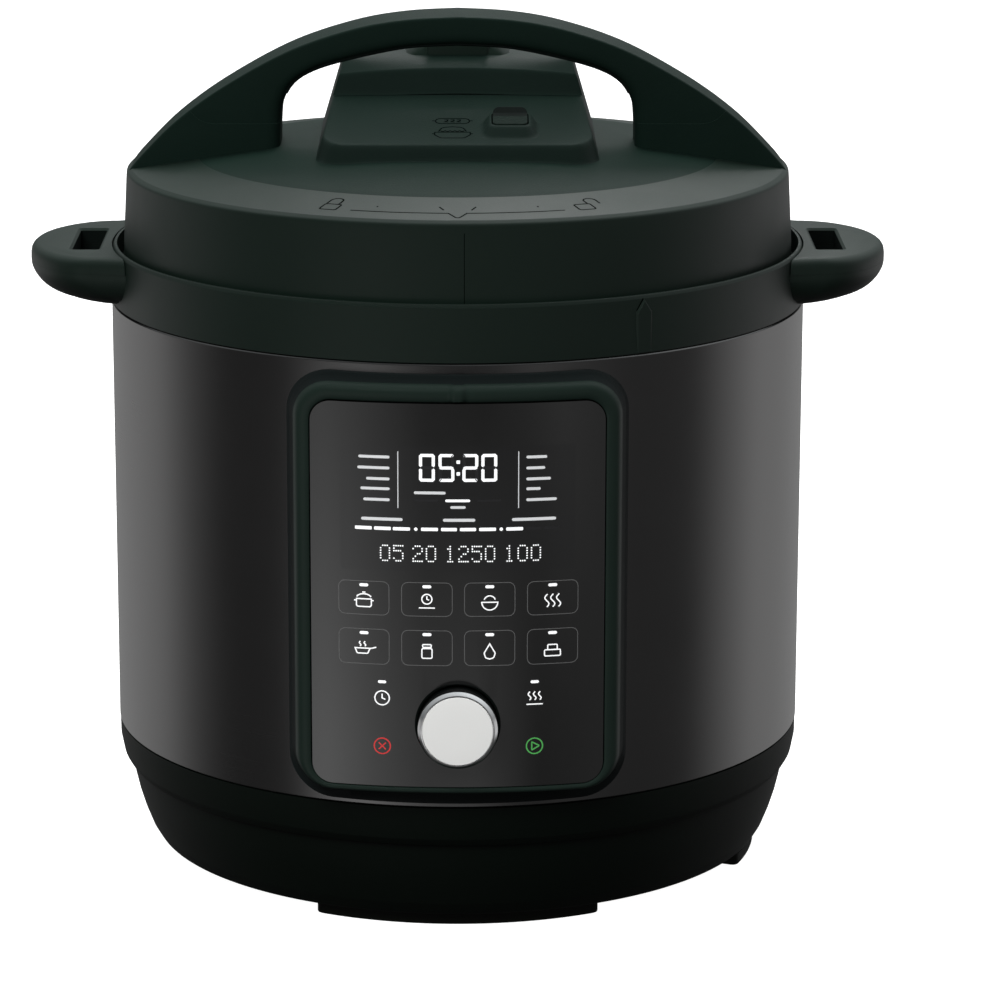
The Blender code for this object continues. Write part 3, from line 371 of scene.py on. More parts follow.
# ---- pieces ----------------------------------------------
def new_object(name, solids):
    """One mesh object from any number of closed solids."""
    vertices, faces = [], []
    for some_vertices, some_faces in solids:
        base = len(vertices)
        vertices += [Vector(v) * MM for v in some_vertices]
        faces += [tuple(base + i for i in face) for face in some_faces]
    mesh = bpy.data.meshes.new(name)
    mesh.from_pydata(vertices, [], faces)
    bm = bmesh.new()
    bm.from_mesh(mesh)
    bm.normal_update()
    bmesh.ops.recalc_face_normals(bm, faces=bm.faces)
    bm.to_mesh(mesh)
    bm.free()
    result = bpy.data.objects.new(name, mesh)
    bpy.context.scene.collection.objects.link(result)
    return result


def settle(item):
    """Replace an object's mesh by the one its modifiers make."""
    bpy.context.view_layer.update()
    made = bpy.data.meshes.new_from_object(item.evaluated_get(bpy.context.evaluated_depsgraph_get()))
    item.modifiers.clear()
    item.data = made


def combine(item, operation, *solids):
    """Cut, join or intersect with closed solids."""
    for number, solid in enumerate(solids):
        tool = new_object(f"{item.name}_tool_{number}", [solid])
        change = item.modifiers.new("combine", "BOOLEAN")
        change.operation, change.solver, change.object = operation, "EXACT", tool
        settle(item)
        bpy.data.objects.remove(tool, do_unlink=True)
    return item


def soften(item, width, segments=3, degrees=32.0):
    """Bevel the edges that turn by more than some degrees."""
    change = item.modifiers.new("soften", "BEVEL")
    change.width, change.segments, change.limit_method = width * MM, segments, "ANGLE"
    change.angle_limit = math.radians(degrees)
    change.miter_outer = "MITER_ARC"
    settle(item)
    return item


def piece(item, material, body, *nodes, sharp=34.0):
    """Finish an object and hang it on its CAD body in place of the CAD nodes that it stands for."""
    item.data.materials.clear()
    item.data.materials.append(material)
    item.data.shade_smooth()
    item.data.set_sharp_from_angle(angle=math.radians(sharp))
    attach(item, body)
    if nodes:
        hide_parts(*nodes)
    return item


def repaint(item, material, wanted):
    """Give another material to the faces whose middle, in millimetres, is wanted."""
    item.data.materials.append(material)
    for face in item.data.polygons:
        if wanted(*(face.center / MM)):
            face.material_index = 1


def turned(name, profile, material, body, *nodes, steps=SMALL, centre=ORIGIN, forward=False):
    """A piece that is one turned solid."""
    return piece(new_object(name, [revolve(profile, steps, centre, forward)]), material, body, *nodes)


def engraved(name, body, lines, width, surface, lift=0.05):
    """Dark lines drawn on a moulding, engraved marks and painted shade lines alike; their top is hardly above
    its skin.
    """
    piece(new_object(name, drawn(lines, width, surface, lift, -0.3)), LINE_AND_SHADE_PLASTIC, body)


# ---- base and sleeve -------------------------------------
def base_pieces():
    profile = rounded([
        (135.7, 53.2, 0.6), (135.6, 46.6), (134.4, 40.4, 1.6), (132.8, 37.7, 0.6), (131.1, 37.2, 0.7),
        (130.1, 30.8), (128.6, 24.4), (126.6, 18.0), (124.0, 11.4, 4.0), (121.0, 6.4, 3.0), (116.0, 5.2, 1.5),
        (0.0, 5.2)], closed=False)
    shell = new_object("base_bowl", [revolve(profile[::-1] + [(134.7, 53.2), (134.7, 62.0), (132.2, 62.0),
                                             (132.2, 48.0), (130.6, 40.0), (127.6, 33.5), (121.6, 12.0),
                                             (118.0, 8.2), (0.0, 8.2)], RING)])
    cuts = []
    for i in range(8):
        vent = rotated(round_box((62.0, 0.0), (26.0, 5.0), 2.4), math.radians(45 * i + 22.5))
        cuts.append(prism(vent, 0.0, 12.0))
    cuts.append(block((-15.3, 110.0, 12.7), (15.3, 145.0, 34.6)))
    combine(shell, "DIFFERENCE", *cuts)
    piece(shell, BOWL, "base", "base_shell")
    feet = (("front_foot", -90, 114.6, 26), ("right_foot", 4, 119.6, 24), ("left_foot", 153, 119.6, 24))
    for name, middle, outer, half in feet:
        sections = []
        for height, inset in ((0.0, 0.7), (0.3, 0.2), (0.8, 0.0), (4.9, 0.0)):
            reach = half + 2.4 - math.degrees(inset / outer)
            outline = arc((0, 0), outer - inset, middle - reach, middle + reach, 24)
            outline += arc((0, 0), outer - 14.0 + inset, middle + reach, middle - reach, 24)
            outline = [(*point, 2.4) if i % 24 in (0, 23) else point for i, point in enumerate(outline)]
            sections.append((rounded(outline), height))
        piece(new_object(name + "_pad", [stack(sections)]), RUBBER, "base", name)
    inlet = new_object("inlet_body", [block((-14.9, 108.0, 13.1), (14.9, 129.2, 34.2))])
    soften(inlet, 1.2)
    combine(inlet, "DIFFERENCE", block((-12.0, 114.0, 15.6), (12.0, 140.0, 31.6)))
    combine(inlet, "UNION", *[block((x - 1.0, 112.0, z), (x + 1.0, 126.0, z + 4.0))
                              for x, z in ((-7.0, 21.0), (0.0, 25.5), (7.0, 21.0))])
    piece(inlet, BLACK, "base", "power_inlet")


def sleeve_piece():
    """The metal wall with its edges rolled in a little at top and bottom."""
    wall = rounded([(135.1, 222.7), (135.5, 222.7, 0.2), (135.9, 222.2, 0.3), (135.9, 54.0, 0.3),
                    (135.5, 53.5, 0.2), (135.1, 53.5)])
    sleeve = new_object("sleeve_wall", [revolve(wall, RING)])
    combine(sleeve, "DIFFERENCE", block((-49.0, -150.0, 68.0), (49.0, -100.0, 208.0)))
    piece(sleeve, BLACK_STEEL, "base", "metal_sleeve")


# ---- collar and side handles -----------------------------
def handle_outline(inset_end, inset_side, root_radius, side):
    """Plan of one side handle, from an arc on the collar out to an elliptical end."""
    reach, root_width = 167.5 - inset_end, 46.0 - inset_side
    root = math.degrees(math.asin(root_width / root_radius))
    depth = min(28.0, reach - math.sqrt(root_radius ** 2 - root_width ** 2) - 1.0)
    points = arc((0, 0), root_radius, root, -root, 32)
    for i in range(49):
        angle = math.radians(-90.0 + 180.0 * i / 48)
        points.append((reach - depth + depth * math.cos(angle), (root_width - 3.0) * math.sin(angle)))
    return [(side * x, y) for x, y in points]


def handle_body(layers, root_radius, side):
    """A side handle through layers of (height, inset at its end, inset at its sides)."""
    return stack([(handle_outline(end, edge, root_radius, side), z) for z, end, edge in layers])


def handle_slot(side, layers=((215.0, 0.0), (250.0, 0.0))):
    """The slot through a handle, by layers of (height, how much wider it is there)."""
    return stack([(round_box((side * SLOT_MIDDLE, 0), (10.5 + w, 45.0 + w), 1.2 + w / 2), z)
                  for z, w in layers])


def collar_pieces():
    profile = rounded([
        (133.5, 244.8, 0.3), (134.6, 244.8, 0.7), (135.2, 243.4, 0.8), (135.3, 236.0), (135.8, 223.1, 0.2),
        (134.7, 223.0), (134.7, 213.0), (132.4, 213.0), (132.4, 230.6), (116.6, 230.6), (116.6, 233.4),
        (131.6, 234.0), (133.5, 236.2)])
    collar = new_object("collar_ring", [revolve(profile, RING)])
    belly = curve_through([(238.15, 0.0, 0.0), (235.6, 0.3, 0.1), (232.6, 1.7, 0.9), (229.4, 4.4, 2.6),
                           (226.9, 8.4, 5.2), (225.0, 14.4, 9.4), (223.4, 24.0, 16.0)], 3)
    for _, side in SIDES:
        combine(collar, "UNION", handle_body(belly, 134.3, side))
        combine(collar, "DIFFERENCE", handle_slot(side))
    piece(collar, PLASTIC, "base", "upper_collar")

    # painted shade: the walls inside the handle slots, in the collar and in both caps, get the near-black
    # plastic
    def in_slot(x, y, z):
        return abs(abs(x) - SLOT_MIDDLE) < 5.6 and abs(y) < 22.9 and z < 243.2
    repaint(collar, PAINTED_SHADE_PLASTIC, in_slot)
    cap_layers = [(238.2, 0.0, 0.0), (240.4, 0.05, 0.05), (241.9, 0.3, 0.25), (243.0, 0.9, 0.8),
                  (243.8, 1.9, 1.7), (244.2, 3.2, 2.8)]
    for label, side in SIDES:
        cap = new_object(f"cap_{label}", [handle_body(cap_layers, 135.6, side)])
        combine(cap, "DIFFERENCE", handle_slot(side), handle_slot(side, ((243.3, 0.0), (245.2, 3.8))))
        piece(cap, PLASTIC, "base", f"handle_cap_{label}")
        repaint(cap, PAINTED_SHADE_PLASTIC, in_slot)

    def on_collar(u, v, lift):
        angle = math.radians(30.4) + u / 135.2
        return ((135.2 + lift) * math.sin(angle), -(135.2 + lift) * math.cos(angle), v)
    low, high = ([(-w, 223.4), (w, 223.4), (w, 238.4 - 0.2 * d), (0.0, 243.3 - d), (-w, 238.4 - 0.2 * d)]
                 for w, d in ((3.5, 0.0), (2.7, 0.9)))
    mark = new_object("collar_pointer", [loft([[on_collar(u, v, -0.6) for u, v in low],
                                               [on_collar(u, v, 0.15) for u, v in low],
                                               [on_collar(u, v, 0.75) for u, v in high]])])
    piece(mark, PLASTIC, "base", sharp=20.0)
    # painted shadow: a dark line along the pointer's left edge and sloped top
    shade = [([(-3.6, 223.5), (-3.6, 238.5), (-0.4, 243.5)], False)]
    engraved("pointer_shade", "base", shade, 0.45, on_collar, 0.06)


# ---- lid -------------------------------------------------
DOME = curve_through([(0.0, 284.4), (30.0, 284.25), (60.0, 283.5), (80.0, 281.5), (99.0, 278.75)], 6)
SKIRT = [(101.4, 278.3), (126.9, 274.5)]


def lid_height(x, y):
    radius = math.hypot(x, y)
    return height_on(DOME if radius < DOME[-1][0] else [DOME[-1], *SKIRT], radius)


def deck_height(y):
    """The sloped front deck of the ridge."""
    return 289.8 + 0.248 * (y + 52.0)


def blend_low(a, b, width):
    """The lower of two heights, with the edge between them rounded."""
    t = min(1.0, max(0.0, 0.5 + 0.5 * (b - a) / width))
    return b + (a - b) * t - width * t * (1 - t)


def blend_high(a, b, width):
    """The higher of two heights, likewise."""
    return -blend_low(-a, -b, width)


def box_distance(u, v, half_u, half_v, corner):
    """Distance outside a rounded rectangle at the origin; negative inside."""
    du, dv = abs(u) - half_u + corner, abs(v) - half_v + corner
    return math.hypot(max(du, 0.0), max(dv, 0.0)) + min(max(du, dv), 0.0) - corner


def console_height(x, y):
    """The ridge on the lid: a sloped front deck, a step and a plateau inside leaning walls.

    Each part is a slope through a named height; the last width of each blend is the radius of its edge.
    """
    back = 283.4 + 6.4 * (58.0 - y)
    walls = blend_low(283.4 - 3.4 * box_distance(x, y - 26.0, 53.9, 80.0, 12.0), back, 16.0)
    arch = 2.4 * (x / 48.0) ** 2 * max(0.0, min(1.0, (30.0 - y) / 34.0))
    plateau = blend_low(311.6 - arch + 0.34 * (y + 1.0), 315.4, 2.0)
    step = 301.4 + 3.3 * (y + 4.0)
    top = blend_high(deck_height(y), blend_low(step, plateau, 1.6), 0.8)
    ridge = blend_low(walls, top, 2.2)
    rim = box_distance(x - BUTTON[0], y - BUTTON[1], 7.8, 6.7, 2.6)
    boss = deck_height(y) + blend_low(3.9, 3.9 - 1.35 * rim, 1.0)
    ridge = blend_high(ridge, min(boss, 304.0), 1.1)
    return blend_high(ridge, lid_height(x, y) - 0.2, 0.8)


def grid_lines(low, high, step, fine_zones):
    """Places from low to high, closer together inside the zones where the surface turns."""
    lines = [low]
    while lines[-1] < high - step / 2:
        here = lines[-1]
        fine = any(a <= here <= b for a, b in fine_zones)
        lines.append(here + (step * 0.42 if fine else step))
    return lines


def console_solid(step):
    """The ridge's upper surface on a grid, closed by a lower one."""
    xs = grid_lines(-60.0, 60.0, step, ((-57.0, -43.0), (10.0, 30.0), (43.0, 57.0)))
    ys = grid_lines(-59.0, 63.0, step, ((-56.5, -50.5), (-47.0, -27.0), (-6.0, 2.0), (52.0, 59.5)))
    top = [(x, y, console_height(x, y)) for y in ys for x in xs]
    count, columns, rows = len(xs), len(xs) - 1, len(ys) - 1
    vertices = top + [(x, y, z - 2.6) for x, y, z in top]
    faces = []
    for j in range(rows):
        for i in range(columns):
            a = j * count + i
            quad = (a, a + 1, a + 1 + count, a + count)
            faces.append(quad)
            faces.append(tuple(len(top) + k for k in reversed(quad)))
    edge = list(range(count)) + [j * count + columns for j in range(1, rows + 1)]
    edge += [rows * count + i for i in range(columns - 1, -1, -1)]
    edge += [j * count for j in range(rows - 1, 0, -1)]
    for a, b in zip(edge, edge[1:] + edge[:1]):
        faces.append((a, b, len(top) + b, len(top) + a))
    return vertices, faces


GRIP_OUTER = curve_through([(0.0, 333.5), (20.0, 332.4), (40.0, 328.9), (64.5, 320.7), (89.8, 307.0),
                            (108.8, 293.4), (122.9, 279.5), (128.3, 272.9)], 8)
GRIP_INNER = curve_through([(0.0, 322.2), (20.0, 321.0), (40.0, 317.0), (55.0, 312.6), (63.4, 307.4),
                            (67.6, 299.6), (68.7, 291.0), (68.9, 279.0)], 8)


def along(line, share):
    """The point at some share of a line's length."""
    lengths = [math.dist(a, b) for a, b in zip(line, line[1:])]
    left = share * sum(lengths)
    for (a, b), length in zip(zip(line, line[1:]), lengths):
        if left <= length:
            return Vector(a).lerp(Vector(b), left / length)
        left -= length
    return Vector(line[-1])


def grip_solid():
    """The whole arch from rim to rim: a flat top with tight edges and sides that roll into the opening."""
    pairs = [(0.0, 0.0), (0.14, 0.19), (0.28, 0.37), (0.42, 0.53), (0.54, 0.63), (0.64, 0.70), (0.72, 0.76),
             (0.79, 0.82), (0.86, 0.88), (0.93, 0.94), (1.0, 1.0)]
    shares = curve_through(pairs, 5)
    right = []
    for a, b in shares:
        top, low = along(GRIP_OUTER, min(a, 1.0)), along(GRIP_INNER, min(b, 1.0))
        width = (top - low).length
        towards = (top - low) / width
        roll = min(6.0, width * 0.45)
        section = rounded([(0.0, -14.5, roll), (width, -14.5, 1.3), (width, 14.5, 1.3), (0.0, 14.5, roll)],
                          steps=6)
        right.append([(low.x + towards.x * s, y, low.y + towards.y * s) for s, y in section])
    left = [[(-x, y, z) for x, y, z in section] for section in right[:0:-1]]
    return loft(left + right)


def seam_region(side, above, gap):
    """The space above or below the joint line between the arch and a foot."""
    line = [(60.0, 292.0 + gap), (94.0, 292.0 + gap), (97.5, 292.4 + gap), (100.6, 293.8 + gap),
            (103.0, 296.2 + gap), (112.0, 306.5 + gap), (170.0, 372.0)]
    far = [(170.0, 420.0), (60.0, 420.0)] if above else [(170.0, 250.0), (60.0, 250.0)]
    return front_prism([(side * x, z) for x, z in line + far], -20.0, 20.0)


def lid_pieces():
    profile = DOME[:-1] + rounded([
        DOME[-1], (101.4, 278.3, 2.0), (127.2, 274.45, 1.0), (129.25, 273.2, 1.6),
        (129.5, 270.0), (130.8, 245.0), (130.8, 237.6, 0.4), (128.2, 237.4)], closed=False)
    profile += [(128.2, 237.4), (127.9, 245.0), (126.6, 270.6), (124.8, 271.9), (98.8, 275.4), (79.6, 278.7),
                (59.8, 280.8), (0.0, 281.7)]
    shell = new_object("lid_dome", [revolve(profile, RING)])
    combine(shell, "DIFFERENCE", block((-44.0, -44.0, 270.0), (44.0, 50.0, 292.0), 6.0))
    piece(shell, PLASTIC, "lid", "lid_cover")
    repaint(shell, GRAINED, lambda x, y, z: math.hypot(x, y) < 100.2 and z > 277.0)
    console = new_object("lid_console", [console_solid(0.8)])
    combine(console, "DIFFERENCE", prism(round_box(BUTTON, (14.2, 12.0), 2.1), 280.0, 312.0),
            rod(18.0, 330.0, 300.0, STEAM_VALVE), rod(4.6, 330.0, 300.0, FLOAT_VALVE))
    piece(console, RIDGE, "lid", "lid_cover", sharp=55.0)
    feet = new_object("handle_feet", [grip_solid()])
    combine(feet, "DIFFERENCE", *[seam_region(side, True, -0.03) for _, side in SIDES],
            front_prism([(-61.0, 280.0), (61.0, 280.0), (61.0, 340.0), (-61.0, 340.0)], -20.0, 20.0))
    piece(feet, GRAINED, "lid", "lid_cover")
    grip = new_object("arched_grip", [grip_solid()])
    combine(grip, "DIFFERENCE", *[seam_region(side, False, 0.03) for _, side in SIDES])
    piece(grip, GRAINED, "lid", "handle_grip")
    band = rounded([(-0.25, -12.4, 1.0), (3.2, -12.4), (3.2, 12.4), (-0.25, 12.4, 1.0)], steps=3)
    sections = []
    for i in range(-30, 31):
        side = 1 if i >= 0 else -1
        share = abs(i) / 30 * 0.74
        point, ahead = along(GRIP_INNER, share), along(GRIP_INNER, share + 0.01)
        across = (ahead - point).normalized().orthogonal()
        sections.append([(side * (point.x + across.x * s), y, point.y + across.y * s) for s, y in band])
    liner = new_object("grip_liner", [loft(sections)])
    # the liner is a real part; its near-black plastic is painted shade for the dark band under the arch
    piece(liner, PAINTED_SHADE_PLASTIC, "lid", "handle_liner")
    for item in (grip, liner):
        item.visible_shadow = item.visible_diffuse = False


def padlock(open_shackle):
    """A padlock drawn upright about the middle of its body: the body and its shackle, shut or swung open."""
    body = round_box((0.0, 0.0), (6.5, 6.2), 0.9, 4)
    middle, rise, foot = (4.9, 6.3, 2.6) if open_shackle else (-0.6, 7.2, 3.1)
    shackle = [(middle - 2.4, foot)] + arc((middle, rise), 2.4, 180, 0, 12) + [(middle + 2.4, foot)]
    return [(body, True), (shackle, False)]


def above(height):
    """Place points at some lift above a height field."""
    return lambda u, v, lift: (u, v, height(u, v) + lift)


def lid_marks():
    """The engraved lines at the rim: the alignment arc with its pointer, the two padlocks and the seam."""
    arc_radius, padlock_radius = 119.4, 117.2
    start, end = (math.degrees(math.asin(x / arc_radius)) for x in (3.4, 39.3))
    lines = []
    for side in (-1, 1):
        line = arc((0.0, 0.0), arc_radius, -90 + side * end, -90 + side * start, 24)
        lines.append((line + [(side * 0.9, -124.0)], False))
        lines.append(([(side * 6.7, -112.2), (side * 5.1, -115.8)], False))
        lines.append(([(side * 29.3, -109.6), (side * 29.5, -110.5)], False))
        for points, closed in shifted(padlock(side > 0), 0.0, -padlock_radius):
            lines.append((rotated(points, math.radians(23.5) * side), closed))
    lines.append(([(-0.95, -123.9), (-0.5, -124.4), (0.5, -124.4), (0.95, -123.9)], False))
    engraved("lid_marks", "lid", lines, 0.62, above(lid_height))

    def on_wall(u, v, lift):
        angle = u / 130.0
        radius = 130.8 - 1.3 * (v - 245.0) / 25.0 if v > 245.0 else 130.8
        return ((radius + lift) * math.sin(angle), -(radius + lift) * math.cos(angle), v)
    seam = [([(2.4, z) for z in (238.0, 245.0, 250.0, 257.0, 264.0, 270.0)], False)]
    engraved("lid_seam", "lid", seam, 0.26, on_wall, 0.02)


def deck_marks():
    """The plain pictures on the ridge's deck, a steam outlet and a lidded pot, and a dark line at the foot of
    its step for the seam there, which is also painted shade.
    """
    lines = [(round_box((-2.0, -29.4), (13.0, 4.8), 2.2, 5), True)]
    for middle in (-4.4, -2.0, 0.4):
        lines.append(([(middle - 0.8, -28.3), (middle + 0.6, -28.2), (middle + 0.5, -29.2),
                       (middle - 0.7, -30.2), (middle + 0.8, -30.4)], False))
    pot = rounded([(-8.8, -40.0, 0.5), (-8.8, -42.4, 1.4), (-6.6, -45.4, 2.2), (2.6, -45.4, 2.2),
                   (4.8, -42.4, 1.4), (4.8, -40.0, 0.5)])
    dome = rounded([(-7.3, -39.2), (-6.2, -36.2, 1.0), (-5.0, -35.4, 0.8), (-2.0, -34.8, 4.0),
                    (1.0, -35.4, 0.8), (2.2, -36.2, 1.0), (3.3, -39.2)], closed=False)
    steps = [(-6.6 + 0.92 * i, -38.6 - 0.9 * (i % 2)) for i in range(11)]
    lines += [(pot, True), (dome, False), (steps, False)]
    for side in (-1, 1):
        for level in (-29.2, -41.4):
            lines.append(([(-2.0 + side * 6.7, level), (-2.0 + side * 7.8, level)], False))
    engraved("deck_marks", "lid", lines, 0.5, above(lambda x, y: deck_height(y)))
    # the seam at the step's foot, drawn darker as painted shade
    groove = [([(x, -3.9 - 0.0006 * x * x) for x in range(-50, 51, 2)], False)]
    engraved("step_seam_and_shade", "lid", groove, 0.3, above(console_height), 0.04)


def steam_pieces():
    """The valve and its ring, the release button and the float pin."""
    mound = [(round_box(STEAM_VALVE, (wide, wide), 5.5), height)
             for wide, height in ((41.0, 311.0), (41.0, 315.2), (35.0, 319.2))]
    ring = new_object("valve_ring", [stack(mound)])
    combine(ring, "UNION", prism(round_box(STEAM_VALVE, (24.4, 41.4), 1.2, 4), 312.0, 320.2))
    combine(ring, "DIFFERENCE", rod(13.6, 330.0, 300.0, STEAM_VALVE))
    soften(ring, 0.5)
    piece(ring, PLASTIC, "lid", "valve_cover")
    cap = new_object("steam_cap", [revolve(rounded([
        (0.0, 324.6), (7.2, 324.6, 0.8), (8.0, 326.0, 0.5), (10.8, 326.0, 1.1), (12.2, 324.4, 0.9),
        (12.2, 306.0), (6.4, 306.0), (6.4, 313.6), (0.0, 313.6)], closed=False), SMALL, (*STEAM_VALVE, 0.0))])
    combine(cap, "UNION", prism(round_box(STEAM_VALVE, (15.4, 3.2), 1.4), 320.0, 325.9))
    flutes = arc(STEAM_VALVE, 12.7, 15.0, 345.0, 12)
    combine(cap, "DIFFERENCE", *[rod(0.9, 324.0, 318.5, place, 12) for place in flutes])
    piece(cap, PLASTIC, "steam_valve", "steam_valve")
    button = new_object("release_key", [prism(round_box(BUTTON, (13.2, 11.0), 1.7, 8), 286.4, 303.0)])
    scoop = rounded([(-31.0, 306.0), (-31.0, 301.3), (-32.4, 301.5, 0.6), (-34.2, 299.3, 1.5),
                     (-36.6, 298.5, 1.0), (-43.2, 296.2), (-43.2, 306.0)])
    combine(button, "DIFFERENCE", loft([[(x, y, z) for y, z in scoop] for x in (10.0, 30.0)]))
    combine(button, "INTERSECT", front_prism(round_box((BUTTON[0], 289.3), (13.3, 24.0), 2.4), -50.0, -20.0))
    combine(button, "UNION", block((11.0, -43.4, 285.5), (29.0, -30.2, 287.2)))
    soften(button, 0.35)
    piece(button, COARSE, "button", "release_button", sharp=50.0)
    # painted shade: the steep front of the scoop gets the near-black plastic, darker than the textured flat
    # below it
    repaint(button, PAINTED_SHADE_PLASTIC, lambda x, y, z: -37.0 < y < -32.0 and z > 298.0)
    pin = rounded([(0.0, 316.7), (2.6, 316.7, 0.8), (3.9, 315.8, 0.6), (4.0, 311.0, 0.3), (2.2, 310.0),
                   (2.2, 246.4), (0.0, 246.4)], closed=False)
    turned("float_pin", pin, STEEL_PLAIN, "float", "float_valve", centre=(*FLOAT_VALVE, 0.0))


# ---- inside the lid and the body -------------------------
def lugs(inner, outer, low, high):
    """Six bayonet lugs, each a short sector."""
    solids = []
    for i in range(6):
        middle = -90 + 60 * i
        outside = arc((0, 0), outer, middle - 12, middle + 12, 14)
        inside = arc((0, 0), inner, middle + 12, middle - 12, 14)
        solids.append(prism(outside + inside, low, high))
    return solids


def inner_pieces():
    """The turned metal inside the lid and the body, with the sealing ring between them."""
    steel = new_object("inner_lid_pan", [revolve(rounded([
        (0.0, 259.2), (96.0, 259.2, 3.0), (104.0, 256.0, 3.0), (125.4, 254.4, 1.6), (127.2, 252.4, 1.6),
        (127.2, 235.6), (126.0, 235.6), (126.0, 252.8), (103.6, 254.8), (95.6, 258.0), (0.0, 258.0)],
        closed=False), RING)])
    combine(steel, "UNION", *lugs(122.4, 126.6, 236.0, 237.4))
    combine(steel, "DIFFERENCE", rod(5.6, 265.0, 250.0, STEAM_VALVE), rod(3.6, 265.0, 250.0, FLOAT_VALVE),
            rod(1.9, 265.0, 250.0, (0.0, 123.2)))
    piece(steel, STEEL, "lid", "inner_lid")
    band = rounded([(102.8, 254.2, 0.8), (105.4, 254.2, 0.8), (105.4, 244.4, 0.8), (102.8, 244.4, 0.8)])
    turned("seal_band", band, STEEL, "lid", "seal_rack", steps=RING)
    seal = rounded([
        (106.6, 252.4, 0.6), (120.0, 252.4, 0.8), (120.8, 250.6, 0.5), (120.8, 245.0, 1.2),
        (117.6, 242.2, 0.8), (114.0, 242.9, 1.2), (109.6, 242.2, 0.8), (107.0, 244.2, 0.5)])
    turned("seal_ring", seal, SILICONE, "lid_hoist", "sealing_ring", steps=RING)
    pot = rounded([
        (108.8, 240.6, 1.2), (109.4, 241.8, 0.8), (117.4, 241.8, 0.5), (118.2, 241.2, 0.4),
        (117.4, 240.5, 0.3), (110.0, 240.5, 0.6), (110.0, 87.0, 6.0), (107.6, 81.4, 4.0), (102.0, 79.0, 3.0),
        (0.0, 79.0), (0.0, 81.4), (101.6, 81.4, 3.0), (106.6, 83.4, 3.0), (108.8, 88.0, 5.0)])
    turned("cooking_pot", pot, STEEL, "base", "inner_pot", steps=RING)
    housing = new_object("pot_housing", [revolve([
        (112.4, 240.2), (121.4, 240.2), (121.4, 238.8), (113.4, 238.8), (113.4, 64.0), (109.0, 60.0),
        (99.0, 60.0), (99.0, 61.2), (108.4, 61.2), (112.4, 64.6)], RING)])
    combine(housing, "UNION", *lugs(119.0, 124.4, 238.85, 240.15))
    piece(housing, STEEL, "base", "outer_pot")


def spring_pieces():
    """The round-wire springs, each a coil wound evenly between its two heights."""
    springs = (("thermostat_coil", "thermostat_spring", "base", (0.0, 0.0), 10.9, 1.0, (50.6, 63.4), 4,
                "thermostat_press", 50.6, 0.83),
               ("button_coil", "button_spring", "lid", (20.0, -36.0), 3.6, 0.9, (259.6, 280.6), 6,
                "button_press", 259.6, 0.84),
               ("lock_pin_coil", "lock_pin_spring", "lid", (0.0, 123.2), 2.3, 0.6, (259.8, 268.6), 4,
                "lock_pin_slide", 268.6, 0.76))
    per_turn = 24
    for name, node, body, (x, y), radius, wire, (low, high), turns, joint, fixed, keep in springs:
        sections = []
        for i in range(turns * per_turn + 1):
            angle = 2 * math.pi * i / per_turn
            middle = low + wire / 2 + (high - low - wire) * i / (turns * per_turn)
            ring = arc((radius, middle), wire / 2, 0, 315, 8)
            sections.append([(x + r * math.cos(angle), y + r * math.sin(angle), h) for r, h in ring])
        coil = piece(new_object(name, [loft(sections)]), SPRING, body, node, sharp=60.0)
        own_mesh(coil)


# ---- condensation cup ------------------------------------
def cup_body(layers):
    """A cup through layers of (inset, taper, height)."""
    sections = []
    for inset, taper, height in layers:
        half, back, near = 36.0 - inset - taper, 155.0 - inset - taper, 141.2 + inset
        corner = 7.0 - min(inset, 3.0)
        outline = [(-half, near, 1.0), (half, near, 1.0), (half, back, corner), (-half, back, corner)]
        sections.append((rounded(outline, steps=6), height))
    return stack(sections)


def cup_pieces():
    """The clear cup behind the body and the bracket that it slides into."""
    cup = new_object("drip_cup", [cup_body([
        (1.4, 3.0, 168.0), (0.5, 3.0, 168.5), (0.0, 2.9, 169.6), (0.0, 0.9, 208.0), (0.0, 0.8, 210.6),
        (0.0, 0.0, 211.2), (0.0, 0.0, 213.6), (0.4, 0.0, 214.0)])])
    combine(cup, "DIFFERENCE", cup_body([(2.4, 2.6, 169.8), (1.6, 2.5, 171.0), (1.6, 0.4, 219.0)]))
    piece(cup, SMOKE, "cup", "condensation_cup")
    bracket = new_object("cup_holder", [block((-38.0, 120.0, 170.0), (38.0, 140.6, 219.0))])
    combine(bracket, "UNION", block((-38.0, 139.0, 214.6), (38.0, 154.0, 219.0), 3.0))
    soften(bracket, 0.9)
    combine(bracket, "DIFFERENCE", rod(136.3, 230.0, 150.0, steps=RING))
    piece(bracket, PLASTIC, "base", "cup_bracket")


# ---- control panel ---------------------------------------
PANEL_AXIS = 44.0
PANEL_RADIUS = 190.0
FILM_CENTRE = (0.0, 137.6)


def on_film(u, v, lift):
    """A point on the film, u along its width measured straight across and v its height."""
    radius = PANEL_RADIUS + lift
    return (u, PANEL_AXIS - math.sqrt(radius * radius - u * u), v)


def bent(item, spacing):
    """Cut flat work into strips and bow it like the panel; a flat point is (across, -height, up)."""
    bm = bmesh.new()
    bm.from_mesh(item.data)
    reach = int(56.0 / spacing)
    for i in range(-reach, reach + 1):
        bmesh.ops.bisect_plane(bm, geom=bm.verts[:] + bm.edges[:] + bm.faces[:],
                               plane_co=(i * spacing * MM, 0, 0), plane_no=(1, 0, 0))
    for vertex in bm.verts:
        u, depth, v = vertex.co / MM
        vertex.co = Vector(on_film(u, v, -depth)) * MM
    bm.normal_update()
    bmesh.ops.recalc_face_normals(bm, faces=bm.faces)
    bm.to_mesh(item.data)
    bm.free()
    return item


def flat_place(u, v, height):
    """Flat work that bent() will bow."""
    return (u, -height, v)


def curved_plate(name, outline, holes, top, bottom):
    """A plate bowed like the panel, between two heights above the film."""
    return bent(new_object(name, [draped(outline, flat_place, top, bottom, holes)]), 3.1)


